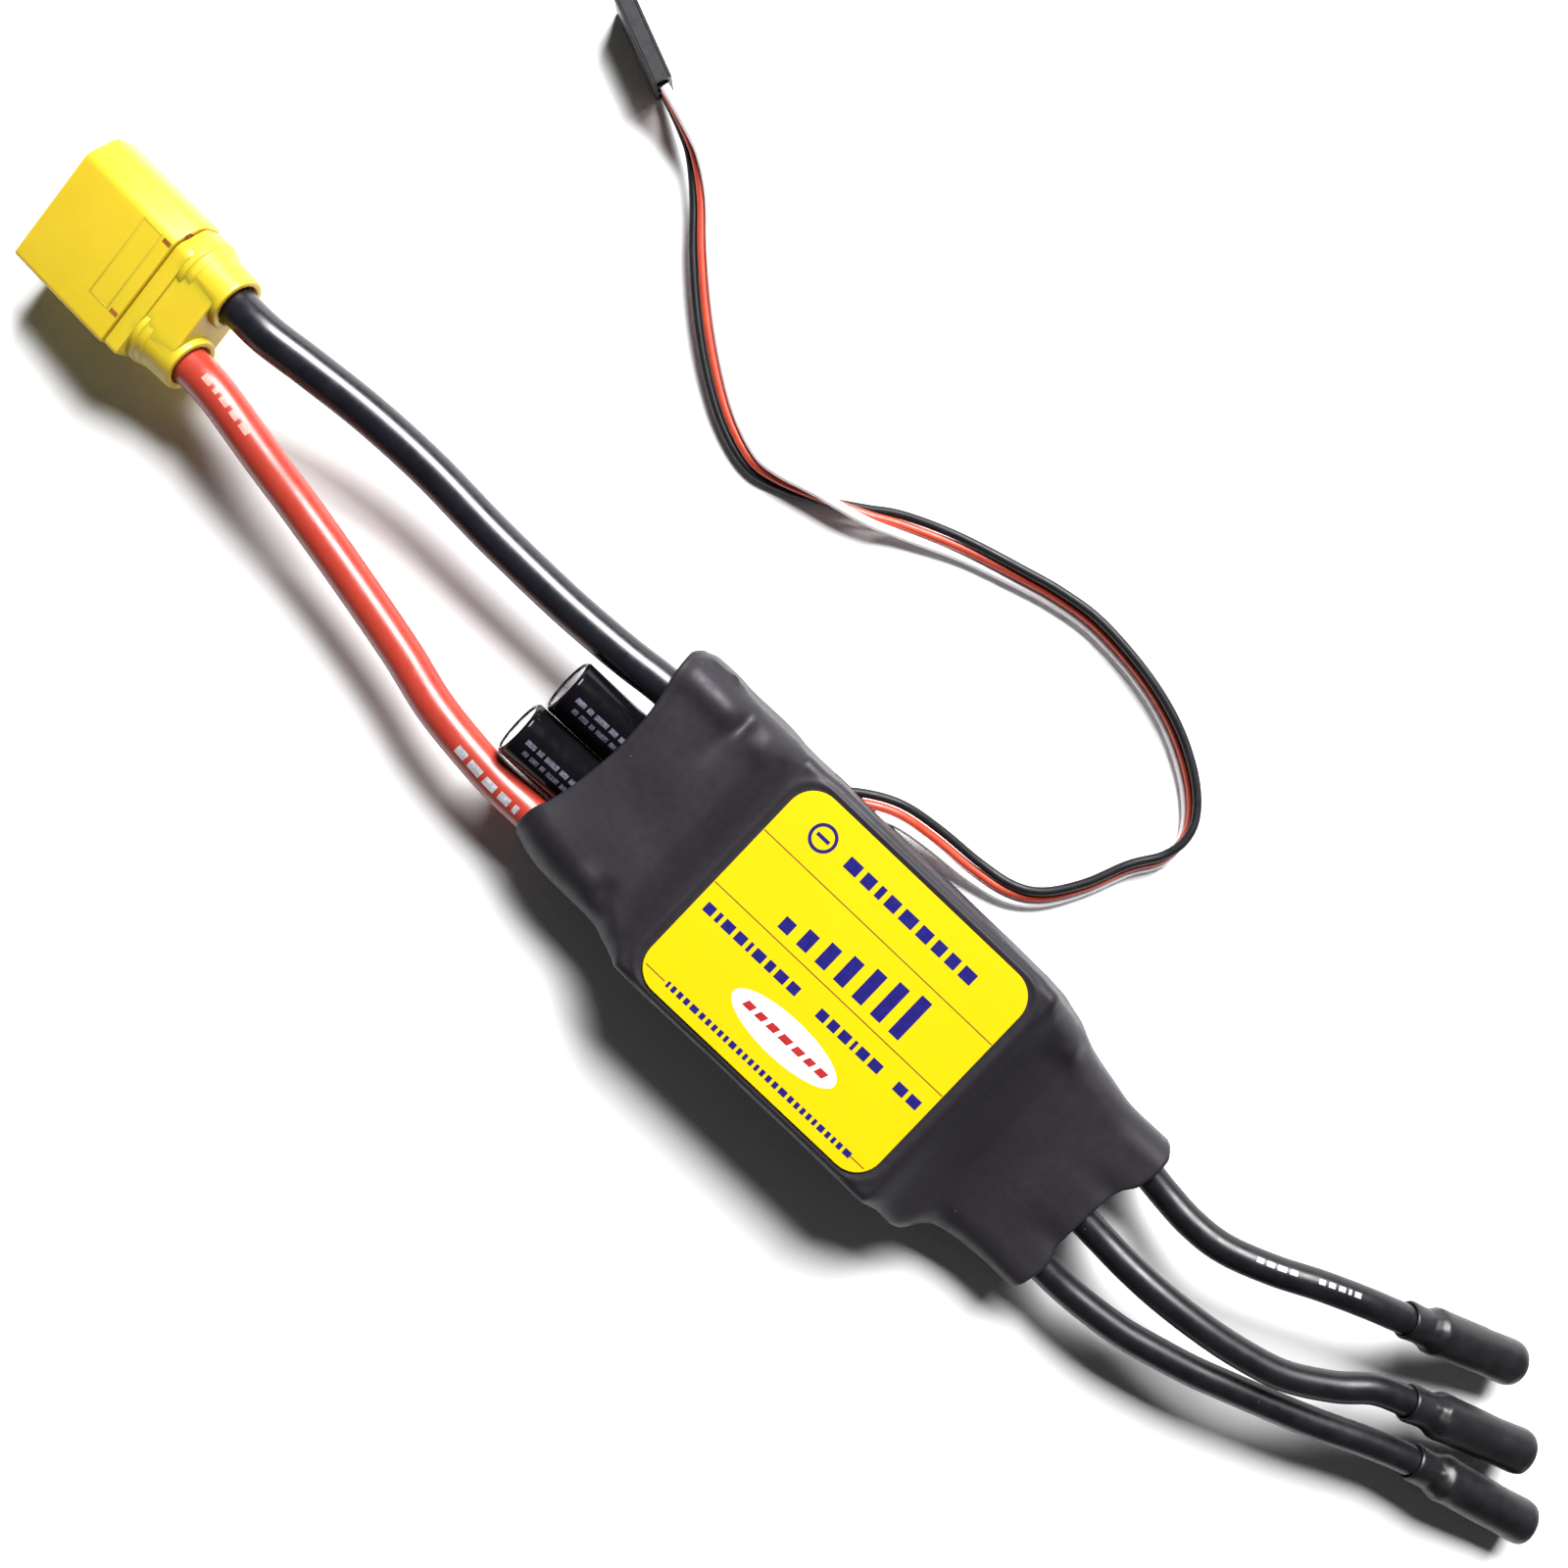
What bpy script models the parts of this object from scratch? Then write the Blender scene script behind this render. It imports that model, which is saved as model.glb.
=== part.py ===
"""A shrink-wrapped brushless motor speed controller, lying flat with its leads spread out.

Frame: +X runs from the battery end to the motor end, +Y is the side where the
signal lead comes out, and +Z is up. The origin is on the surface that the
body rests on, under the middle of the body. Everything is in metres.
"""

import math
from collections import namedtuple

import bmesh
import bpy
from mathutils import Matrix, Vector

MM = 0.001
GAP = 0.3 * MM

# --- Driving dimensions ---

SLEEVE_WALL = 0.7 * MM
SLEEVE_LOW_RADIUS = 3.0 * MM
MOUTH_BOW = 2.0 * MM
CORNER_STEPS = 4
EDGE_POINTS = (2, 9, 2, 4)
SLIT_SIZE = (11.0 * MM, 6.0 * MM, 2.4 * MM)
SLIT_CENTRE = (-9.8 * MM, 18.4 * MM, 4.9 * MM)

LABEL_CENTRE_X = 2.0 * MM
LABEL_SIZE = (39.0 * MM, 32.7 * MM, 0.25 * MM)
LABEL_LOW = 17.7 * MM
LABEL_CORNER = 4.0 * MM

PLATE_SIZE = (42.0 * MM, 33.4 * MM, 4.6 * MM)
PLATE_LOW = 12.0 * MM
PAD_SIZE = (36.0 * MM, 26.0 * MM, 2.0 * MM)
PAD_LOW = 9.7 * MM

POWER_BOARD_ENDS = (-26.0 * MM, 38.0 * MM)
POWER_BOARD_WIDTH = 30.6 * MM
POWER_BOARD_LOW = 6.5 * MM
CONTROL_BOARD_START = -24.0 * MM
CONTROL_BOARD_WIDTH = 27.0 * MM
CONTROL_BOARD_LOW = 1.6 * MM
BOARD_TAIL_WIDTH = 25.0 * MM
BOARD_SHOULDER_X = 29.0 * MM
POWER_BOARD_THICK = 1.6 * MM
CONTROL_BOARD_THICK = 1.0 * MM
MOSFET_SIZE = (5.0 * MM, 6.0 * MM, 1.0 * MM)
MOSFET_PITCH_X = 5.8 * MM
MOSFET_ROW_Y = 6.5 * MM
MOSFETS_PER_ROW = 6

CAP_RADIUS = 4.0 * MM
CAP_LENGTH = 20.0 * MM
CAP_SKIN = 0.25 * MM
CAP_TILT = math.radians(13.0)
CAP_INNER_Z = 6.8 * MM
CAP_INNER_ENDS = ((-28.3 * MM, 3.5 * MM), (-29.2 * MM, -4.6 * MM))
CAP_LEG_RADIUS = 0.35 * MM
CAP_LEG_SPREAD = 1.75 * MM

BATTERY_LEAD_DIAMETER = 5.3 * MM
MOTOR_LEAD_DIAMETER = 4.1 * MM
SERVO_WIRE_DIAMETER = 1.2 * MM
SERVO_WIRE_PITCH = 1.3 * MM

CONNECTOR_JOINT = (-118.0 * MM, 5.0 * MM, 10.25 * MM)
CONNECTOR_YAW = math.radians(-1.4)
CONNECTOR_PITCH = math.radians(-10.5)
CONNECTOR_ROLL = math.radians(13.0)
HOUSING_LENGTH = 16.8 * MM
HOUSING_WIDTH = 19.4 * MM
HOUSING_THICK = 10.2 * MM
HOUSING_CHAMFER = 3.2 * MM
HOUSING_WALL = 1.3 * MM
POCKET_DEPTH = 11.5 * MM
TERMINAL_PITCH = 9.8 * MM
PIN_RADIUS = 2.25 * MM
PIN_CUP_RADIUS = 2.7 * MM
COLLAR_LENGTH = 8.85 * MM
COLLAR_ROOT_RADIUS = 4.85 * MM
COLLAR_END_RADIUS = 3.9 * MM
COLLAR_BORE = 2.95 * MM

BULLET_LENGTH = 12.6 * MM
BULLET_RADIUS = 2.5 * MM
BULLET_BORE = 2.05 * MM
BULLET_SLEEVE_LENGTH = 19.0 * MM
BULLET_SLEEVE_RADIUS = 3.1 * MM
BULLET_SLEEVE_WALL = 0.4 * MM
BULLET_NECK_LENGTH = 4.6 * MM
LEAD_IN_SLEEVE = 5.5 * MM

PLUG_TAIL = (-91.5 * MM, 66.9 * MM, 3.95 * MM)
PLUG_LENGTH = 12.4 * MM
PLUG_WIDTH = 7.6 * MM
PLUG_THICK = 2.6 * MM
PLUG_YAW = math.radians(158.0)
CONTACT_PITCH = 2.54 * MM
CONTACT_HOLE = 1.5 * MM

ROUND_SIDES = 24

# The wrap's cross-sections along x: its two sides, underside and top, how far the sides lean in,
# and the radius of the top corners.
Station = namedtuple("Station", "x left right low high lean round_top")
SLEEVE_STATIONS = (
    Station(-0.0400, -0.0154, 0.0188, 0.0022, 0.0138, 0.0002, 0.0050),
    Station(-0.0350, -0.0164, 0.0188, 0.0008, 0.0143, 0.0004, 0.0050),
    Station(-0.0290, -0.0170, 0.0188, 0.0000, 0.0144, 0.0008, 0.0048),
    Station(-0.0240, -0.0170, 0.0188, 0.0000, 0.0150, 0.0008, 0.0040),
    Station(-0.0210, -0.0177, 0.0188, 0.0000, 0.0166, 0.0008, 0.0026),
    Station(-0.0190, -0.0182, 0.0188, 0.0000, 0.0176, 0.0006, 0.0015),
    Station(0.0020, -0.0184, 0.0188, 0.0000, 0.0176, 0.0008, 0.0015),
    Station(0.0235, -0.0188, 0.0186, 0.0000, 0.0176, 0.0008, 0.0015),
    Station(0.0255, -0.0188, 0.0184, 0.0000, 0.0164, 0.0010, 0.0026),
    Station(0.0290, -0.0188, 0.0178, 0.0000, 0.0138, 0.0008, 0.0036),
    Station(0.0320, -0.0178, 0.0168, 0.0000, 0.0120, 0.0004, 0.0040),
    Station(0.0370, -0.0148, 0.0156, 0.0006, 0.0108, 0.0002, 0.0040),
    Station(0.0430, -0.0142, 0.0146, 0.0014, 0.0103, 0.0002, 0.0038),
    Station(0.0496, -0.0140, 0.0140, 0.0022, 0.0100, 0.0002, 0.0036),
)

# The routes of the cords, from the body outwards.
BLACK_LEAD_ROUTE = (
    (-0.0313, 0.0119, 0.0095),
    (-0.0384, 0.0118, 0.0095),
    (-0.0444, 0.0112, 0.0094),
    (-0.0505, 0.0108, 0.0092),
    (-0.0570, 0.0106, 0.0091),
    (-0.0679, 0.0107, 0.0092),
    (-0.0789, 0.0112, 0.0098),
    (-0.0889, 0.0110, 0.0110),
    (-0.0978, 0.0102, 0.0127),
    (-0.1043, 0.0095, 0.0137),
    (-0.1094, 0.0096, 0.0129),
    (-0.1122, 0.0096, 0.0124),
    (-0.1148, 0.0097, 0.0119),
)
RED_LEAD_ROUTE = (
    (-0.0313, -0.0116, 0.0090),
    (-0.0403, -0.0117, 0.0090),
    (-0.0472, -0.0116, 0.0089),
    (-0.0575, -0.0104, 0.0086),
    (-0.0661, -0.0082, 0.0084),
    (-0.0775, -0.0057, 0.0086),
    (-0.0878, -0.0036, 0.0093),
    (-0.0949, -0.0022, 0.0104),
    (-0.1041, -0.0003, 0.0115),
    (-0.1092, 0.0000, 0.0108),
    (-0.1120, 0.0001, 0.0103),
    (-0.1147, 0.0001, 0.0098),
)
MOTOR_LEAD_ROUTES = (
    (
        (0.0436, 0.0093, 0.0070),
        (0.0484, 0.0092, 0.0069),
        (0.0532, 0.0086, 0.0075),
        (0.0577, 0.0083, 0.0088),
        (0.0625, 0.0089, 0.0103),
        (0.0685, 0.0112, 0.0114),
        (0.0742, 0.0140, 0.0118),
        (0.0801, 0.0164, 0.0114),
        (0.0849, 0.0180, 0.0102),
        (0.0908, 0.0199, 0.0080),
    ),
    (
        (0.0436, -0.0011, 0.0070),
        (0.0469, -0.0011, 0.0069),
        (0.0516, -0.0013, 0.0074),
        (0.0555, -0.0014, 0.0084),
        (0.0607, -0.0012, 0.0096),
        (0.0671, -0.0005, 0.0104),
        (0.0733, 0.0006, 0.0107),
        (0.0794, 0.0024, 0.0107),
        (0.0853, 0.0058, 0.0102),
        (0.0893, 0.0090, 0.0097),
        (0.0934, 0.0106, 0.0090),
        (0.0961, 0.0114, 0.0084),
        (0.0990, 0.0123, 0.0077),
    ),
    (
        (0.0436, -0.0092, 0.0070),
        (0.0476, -0.0092, 0.0070),
        (0.0522, -0.0092, 0.0072),
        (0.0568, -0.0088, 0.0077),
        (0.0615, -0.0081, 0.0081),
        (0.0655, -0.0071, 0.0083),
        (0.0709, -0.0056, 0.0084),
        (0.0760, -0.0038, 0.0084),
        (0.0870, 0.0002, 0.0080),
        (0.0945, 0.0033, 0.0074),
        (0.1003, 0.0053, 0.0067),
        (0.1060, 0.0066, 0.0057),
    ),
)

# The signal ribbon's middle line, with the turn about it in degrees: at 0 the black wire
# lies on the left of the other two, and at 90 it is above them.
SERVO_ROUTE = (
    (-0.0185, 0.0108, 0.0049, 0),
    (-0.0140, 0.0150, 0.0049, 0),
    (-0.0098, 0.0184, 0.0049, 0),
    (-0.0055, 0.0205, 0.0044, 0),
    (0.0000, 0.0214, 0.0030, 8),
    (0.0066, 0.0219, 0.0019, 20),
    (0.0120, 0.0230, 0.0017, 35),
    (0.0157, 0.0255, 0.0018, 50),
    (0.0188, 0.0303, 0.0019, 60),
    (0.0212, 0.0360, 0.0020, 62),
    (0.0236, 0.0400, 0.0020, 66),
    (0.0238, 0.0436, 0.0021, 90),
    (0.0222, 0.0468, 0.0020, 110),
    (0.0183, 0.0502, 0.0020, 118),
    (0.0123, 0.0533, 0.0020, 118),
    (0.0051, 0.0552, 0.0020, 118),
    (-0.0035, 0.0559, 0.0019, 125),
    (-0.0098, 0.0551, 0.0018, 130),
    (-0.0155, 0.0536, 0.0017, 135),
    (-0.0236, 0.0511, 0.0015, 150),
    (-0.0312, 0.0479, 0.0014, 190),
    (-0.0355, 0.0456, 0.0019, 230),
    (-0.0421, 0.0428, 0.0021, 285),
    (-0.0471, 0.0410, 0.0019, 305),
    (-0.0510, 0.0405, 0.0018, 320),
    (-0.0564, 0.0422, 0.0019, 330),
    (-0.0621, 0.0455, 0.0022, 335),
    (-0.0682, 0.0501, 0.0026, 335),
    (-0.0738, 0.0552, 0.0030, 330),
    (-0.0786, 0.0602, 0.0033, 320),
    (-0.0828, 0.0635, 0.0036, 300),
    (-0.0866, 0.0652, 0.0038, 280),
    (-0.0912, 0.06678, 0.00395, 270),
)
SPREAD_LENGTH = 7.0 * MM


# --- Mesh helpers ---


def clear_scene():
    """Remove whatever the file opened with."""
    for obj in list(bpy.data.objects):
        bpy.data.objects.remove(obj, do_unlink=True)


def material(name, colour, roughness, metallic=0.0):
    """A plain Principled material."""
    made = bpy.data.materials.new(name)
    made.use_nodes = True
    shader = made.node_tree.nodes["Principled BSDF"]
    shader.inputs["Base Color"].default_value = (*colour, 1.0)
    shader.inputs["Roughness"].default_value = roughness
    shader.inputs["Metallic"].default_value = metallic
    return made


def add_object(name, bm, finish, smooth=True, place=None):
    """Turn a bmesh into a named object at a place, with its faces outwards."""
    bmesh.ops.recalc_face_normals(bm, faces=bm.faces)
    if bm.calc_volume(signed=True) < 0:
        bmesh.ops.reverse_faces(bm, faces=bm.faces)
    mesh = bpy.data.meshes.new(name)
    bm.to_mesh(mesh)
    bm.free()
    if smooth:
        mesh.shade_smooth()
        mesh.set_sharp_from_angle(angle=math.radians(35))
    obj = bpy.data.objects.new(name, mesh)
    bpy.context.collection.objects.link(obj)
    if finish:
        mesh.materials.append(finish)
    if place:
        obj.matrix_world = place
    return obj


def box(name, low, high, finish, bevel=0.0, place=None):
    """A rectangular block between two corners, with its edges broken."""
    bm = bmesh.new()
    bmesh.ops.create_cube(bm, size=1.0)
    size = Vector(high) - Vector(low)
    middle = (Vector(high) + Vector(low)) / 2
    bmesh.ops.scale(bm, vec=size, verts=bm.verts)
    bmesh.ops.translate(bm, vec=middle, verts=bm.verts)
    if bevel:
        bmesh.ops.bevel(bm, geom=bm.edges[:], offset=bevel, segments=1, affect="EDGES")
    return add_object(name, bm, finish, smooth=False, place=place)


def block(name, centre, size, low, finish, bevel=0.0):
    """A block centred in X and Y, standing on a height."""
    x, y = centre
    corner = (x - size[0] / 2, y - size[1] / 2, low)
    opposite = (x + size[0] / 2, y + size[1] / 2, low + size[2])
    return box(name, corner, opposite, finish, bevel)


def prism(name, outline, start, end, finish, place=None):
    """A (y, z) outline extruded along X."""
    bm = bmesh.new()
    near = [bm.verts.new((start, y, z)) for y, z in outline]
    face = bm.faces.new(near)
    extruded = bmesh.ops.extrude_face_region(bm, geom=[face])
    moved = [v for v in extruded["geom"] if isinstance(v, bmesh.types.BMVert)]
    bmesh.ops.translate(bm, vec=(end - start, 0, 0), verts=moved)
    return add_object(name, bm, finish, smooth=False, place=place)


def plate(name, outline, low, thickness, finish, bevel=0.0):
    """An (x, y) outline extruded upwards."""
    bm = bmesh.new()
    face = bm.faces.new([bm.verts.new((x, y, low)) for x, y in outline])
    extruded = bmesh.ops.extrude_face_region(bm, geom=[face])
    moved = [v for v in extruded["geom"] if isinstance(v, bmesh.types.BMVert)]
    bmesh.ops.translate(bm, vec=(0, 0, thickness), verts=moved)
    if bevel:
        rim = [e for e in bm.edges if e.verts[0].co.z > low and e.verts[1].co.z > low]
        bmesh.ops.bevel(bm, geom=rim, offset=bevel, segments=2, affect="EDGES")
    return add_object(name, bm, finish)


def rounded_rectangle(centre_x, length, width, radius, steps=5):
    """The (x, y) outline of a rectangle with round corners."""
    corners = (
        (length / 2 - radius, -width / 2 + radius, -90),
        (length / 2 - radius, width / 2 - radius, 0),
        (-length / 2 + radius, width / 2 - radius, 90),
        (-length / 2 + radius, -width / 2 + radius, 180),
    )
    outline = []
    for x, y, start in corners:
        for step in range(steps + 1):
            angle = math.radians(start + 90 * step / steps)
            outline.append((centre_x + x + radius * math.cos(angle), y + radius * math.sin(angle)))
    return outline


def turned(name, profile, finish, place=None, sides=ROUND_SIDES):
    """A body turned about its own X axis from (x, radius) points.

    The profile starts and ends on the axis, or goes round and closes on itself.
    """
    bm = bmesh.new()
    rings = []
    for x, radius in profile:
        if radius == 0:
            rings.append([bm.verts.new((x, 0, 0))])
            continue
        turns = [2 * math.pi * k / sides for k in range(sides)]
        rings.append([bm.verts.new((x, radius * math.cos(a), radius * math.sin(a))) for a in turns])
    pairs = list(zip(rings, rings[1:]))
    if len(rings[0]) > 1:
        pairs.append((rings[-1], rings[0]))
    for first, second in pairs:
        for k in range(sides):
            corners = (first[k % len(first)], first[(k + 1) % len(first)])
            corners += (second[(k + 1) % len(second)], second[k % len(second)])
            bm.faces.new(list(dict.fromkeys(corners)))
    return add_object(name, bm, finish, place=place)


def along(start, end):
    """The placement that puts a turned body's X axis on a line from start towards end."""
    direction = (Vector(end) - Vector(start)).normalized()
    turn = Vector((1, 0, 0)).rotation_difference(direction).to_matrix().to_4x4()
    return Matrix.Translation(start) @ turn


def cut(target, cutter, operation="DIFFERENCE"):
    """Combine a hidden helper with a piece."""
    cutter.hide_render = True
    cutter.display_type = "WIRE"
    modifier = target.modifiers.new(cutter.name, "BOOLEAN")
    modifier.operation = operation
    modifier.object = cutter


# --- Cord helpers ---


def spline_point(points, k, t):
    """A point of the Catmull-Rom curve between the points k and k + 1."""
    before = points[max(k - 1, 0)]
    here, there = points[k], points[k + 1]
    after = points[min(k + 2, len(points) - 1)]
    leave = (there - before) / 2
    arrive = (after - here) / 2
    t2, t3 = t * t, t * t * t
    return (
        here * (2 * t3 - 3 * t2 + 1)
        + leave * (t3 - 2 * t2 + t)
        + there * (3 * t2 - 2 * t3)
        + arrive * (t3 - t2)
    )


def smooth_line(route, spacing):
    """Evenly spaced points on one smooth curve through a route."""
    points = [Vector(p) for p in route]
    fine = [spline_point(points, k, s / 24) for k in range(len(points) - 1) for s in range(24)]
    fine.append(points[-1])
    lengths = [0.0]
    for a, b in zip(fine, fine[1:]):
        lengths.append(lengths[-1] + (b - a).to_3d().length)
    count = max(2, round(lengths[-1] / spacing))
    line = []
    k = 0
    for step in range(count + 1):
        target = lengths[-1] * step / count
        while k < len(fine) - 2 and lengths[k + 1] < target:
            k += 1
        share = (target - lengths[k]) / (lengths[k + 1] - lengths[k])
        line.append(fine[k].lerp(fine[k + 1], share))
    return line


def tube(name, line, diameter, finish, sides_setting):
    """A round cord along a line of points, closed at both ends."""
    curve = bpy.data.curves.new(name, "CURVE")
    curve.dimensions = "3D"
    curve.bevel_depth = diameter / 2
    curve.bevel_resolution = sides_setting
    curve.use_fill_caps = True
    spline = curve.splines.new("POLY")
    spline.points.add(len(line) - 1)
    for point, place in zip(spline.points, line):
        point.co = (*place[:3], 1.0)
    curve.materials.append(finish)
    obj = bpy.data.objects.new(name, curve)
    bpy.context.collection.objects.link(obj)
    return obj


def ribbon_wire(order):
    """The line of one wire of the signal ribbon: order 1 is black, 0 red and -1 white."""
    middle = smooth_line([Vector((x, y, z, turn)) for x, y, z, turn in SERVO_ROUTE], 2.8 * MM)
    total = sum((b - a).to_3d().length for a, b in zip(middle, middle[1:]))
    wire = []
    travelled = 0.0
    for k, point in enumerate(middle):
        ahead = middle[min(k + 1, len(middle) - 1)].to_3d() - middle[max(k - 1, 0)].to_3d()
        left = Vector((-ahead.y, ahead.x, 0)).normalized()
        up = ahead.normalized().cross(left)
        turn = math.radians(point[3])
        if k:
            travelled += (point - middle[k - 1]).to_3d().length
        spread = max(0.0, 1 - (total - travelled) / SPREAD_LENGTH)
        pitch = SERVO_WIRE_PITCH + spread * (CONTACT_PITCH - SERVO_WIRE_PITCH)
        wire.append(point.to_3d() + order * pitch * (math.cos(turn) * left + math.sin(turn) * up))
    return wire


# --- The wrapped body ---


def sleeve_section(station, inset):
    """One ring of the wrap, anticlockwise seen from +X, drawn in from the outside by an inset."""
    low_radius = SLEEVE_LOW_RADIUS - inset
    top_radius = station.round_top - inset
    left, right = station.left + inset, station.right - inset
    low, high = station.low + inset, station.high - inset
    corners = (
        (right - low_radius, low + low_radius, low_radius, -90),
        (right - station.lean - top_radius, high - top_radius, top_radius, 0),
        (left + station.lean + top_radius, high - top_radius, top_radius, 90),
        (left + low_radius, low + low_radius, low_radius, 180),
    )
    arcs = []
    for y, z, radius, start in corners:
        turns = [math.radians(start + 90 * k / CORNER_STEPS) for k in range(CORNER_STEPS + 1)]
        arcs.append([Vector((station.x, y + radius * math.cos(a), z + radius * math.sin(a))) for a in turns])
    ring = []
    for arc, following, between in zip(arcs, arcs[1:] + arcs[:1], EDGE_POINTS):
        ring += arc
        ring += [arc[-1].lerp(following[0], (k + 1) / (between + 1)) for k in range(between)]
    return ring


def bow_mouth(ring, station, towards_body):
    """Draw the top edge of an open end back towards the body, most in its middle."""
    middle = (station.left + station.right) / 2
    half = (station.right - station.left) / 2
    height = station.high - station.low
    for point in ring:
        across = max(0.0, 1 - ((point.y - middle) / half) ** 2)
        up = max(0.0, (point.z - station.low) / height)
        point.x += towards_body * MOUTH_BOW * across * up


def sleeve_rings(inset):
    rings = [sleeve_section(station, inset) for station in SLEEVE_STATIONS]
    bow_mouth(rings[0], SLEEVE_STATIONS[0], 1)
    bow_mouth(rings[-1], SLEEVE_STATIONS[-1], -1)
    return rings


def heat_shrink_sleeve(finish):
    """The wrap: a thin tube open at both ends, with a slit where the signal lead comes out."""
    bm = bmesh.new()
    outer = [[bm.verts.new(p) for p in ring] for ring in sleeve_rings(0.0)]
    inner = [[bm.verts.new(p) for p in ring] for ring in sleeve_rings(SLEEVE_WALL)]
    skin = outer + inner[::-1]
    for first, second in zip(skin, skin[1:] + skin[:1]):
        for k in range(len(first)):
            after = (k + 1) % len(first)
            bm.faces.new((first[k], first[after], second[after], second[k]))
    sleeve = add_object("heat_shrink_sleeve", bm, finish)
    half = Vector(SLIT_SIZE) / 2
    centre = Vector(SLIT_CENTRE)
    cut(sleeve, box("servo_slit_cutter", centre - half, centre + half, None))


def label(finish):
    outline = rounded_rectangle(LABEL_CENTRE_X, LABEL_SIZE[0], LABEL_SIZE[1], LABEL_CORNER)
    plate("label", outline, LABEL_LOW, LABEL_SIZE[2], finish)


def heatsink_plate(finish):
    outline = rounded_rectangle(LABEL_CENTRE_X, PLATE_SIZE[0], PLATE_SIZE[1], 2.0 * MM)
    plate("heatsink_plate", outline, PLATE_LOW, PLATE_SIZE[2], finish, bevel=0.6 * MM)


def board_outline(ends, width):
    """A board with a narrower tail towards the motor end, which the wrap's neck takes."""
    start, end = ends
    shoulder = min(end, BOARD_SHOULDER_X)
    half, tail = width / 2, min(width, BOARD_TAIL_WIDTH) / 2
    outline = [(start, -half), (shoulder, -half)]
    if end > shoulder:
        outline += [(shoulder, -tail), (end, -tail), (end, tail), (shoulder, tail)]
    return outline + [(shoulder, half), (start, half)]


def boards(mats):
    power = board_outline(POWER_BOARD_ENDS, POWER_BOARD_WIDTH)
    plate("power_board", power, POWER_BOARD_LOW, POWER_BOARD_THICK, mats["board"])
    control = board_outline((CONTROL_BOARD_START, BOARD_SHOULDER_X), CONTROL_BOARD_WIDTH)
    plate("control_board", control, CONTROL_BOARD_LOW, CONTROL_BOARD_THICK, mats["board"])


def power_stage(mats):
    """The switches in two rows under the heatsink, the pad on them, and the copper at both ends."""
    low = POWER_BOARD_LOW + POWER_BOARD_THICK + GAP
    first = LABEL_CENTRE_X - MOSFET_PITCH_X * (MOSFETS_PER_ROW - 1) / 2
    number = 0
    for side in (1, -1):
        for k in range(MOSFETS_PER_ROW):
            number += 1
            centre = (first + k * MOSFET_PITCH_X, side * MOSFET_ROW_Y)
            block(f"mosfet_{number}", centre, MOSFET_SIZE, low, mats["chip"], 0.15 * MM)
    block("thermal_pad", (LABEL_CENTRE_X, 0), PAD_SIZE, PAD_LOW, mats["pad"], 0.2 * MM)
    bar = (9.0 * MM, 4.4 * MM, 1.2 * MM)
    for name, y in (("bus_bar_negative", 11.4 * MM), ("bus_bar_positive", -11.3 * MM)):
        block(name, (-26.4 * MM, y), bar, low, mats["copper"], 0.2 * MM)
    tab = (11.0 * MM, 3.6 * MM, 0.8 * MM)
    for number, route in enumerate(MOTOR_LEAD_ROUTES, 1):
        centre = (route[0][0] - GAP - tab[0] / 2, route[0][1])
        block(f"phase_tab_{number}", centre, tab, low, mats["copper"], 0.15 * MM)


def control_parts(mats):
    """What stands on the control board, under the power board."""
    low = CONTROL_BOARD_LOW + CONTROL_BOARD_THICK + GAP
    chip = mats["chip"]
    edge = 0.2 * MM
    block("microcontroller", (12.0 * MM, -5.0 * MM), (7.0 * MM, 7.0 * MM, 1.0 * MM), low, chip, edge)
    block("gate_driver", (1.0 * MM, -5.0 * MM), (6.5 * MM, 4.4 * MM, 1.1 * MM), low, chip, edge)
    block("bec_regulator", (12.0 * MM, 7.0 * MM), (6.2 * MM, 6.6 * MM, 2.2 * MM), low, chip, edge)
    block("board_header", (-21.0 * MM, 0), (2.5 * MM, 15.2 * MM, 3.3 * MM), low, chip, edge)
    inductor_size = (7.0 * MM, 7.0 * MM, 3.0 * MM)
    block("bec_inductor", (22.0 * MM, 6.0 * MM), inductor_size, low, mats["ferrite"], 0.5 * MM)


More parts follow.
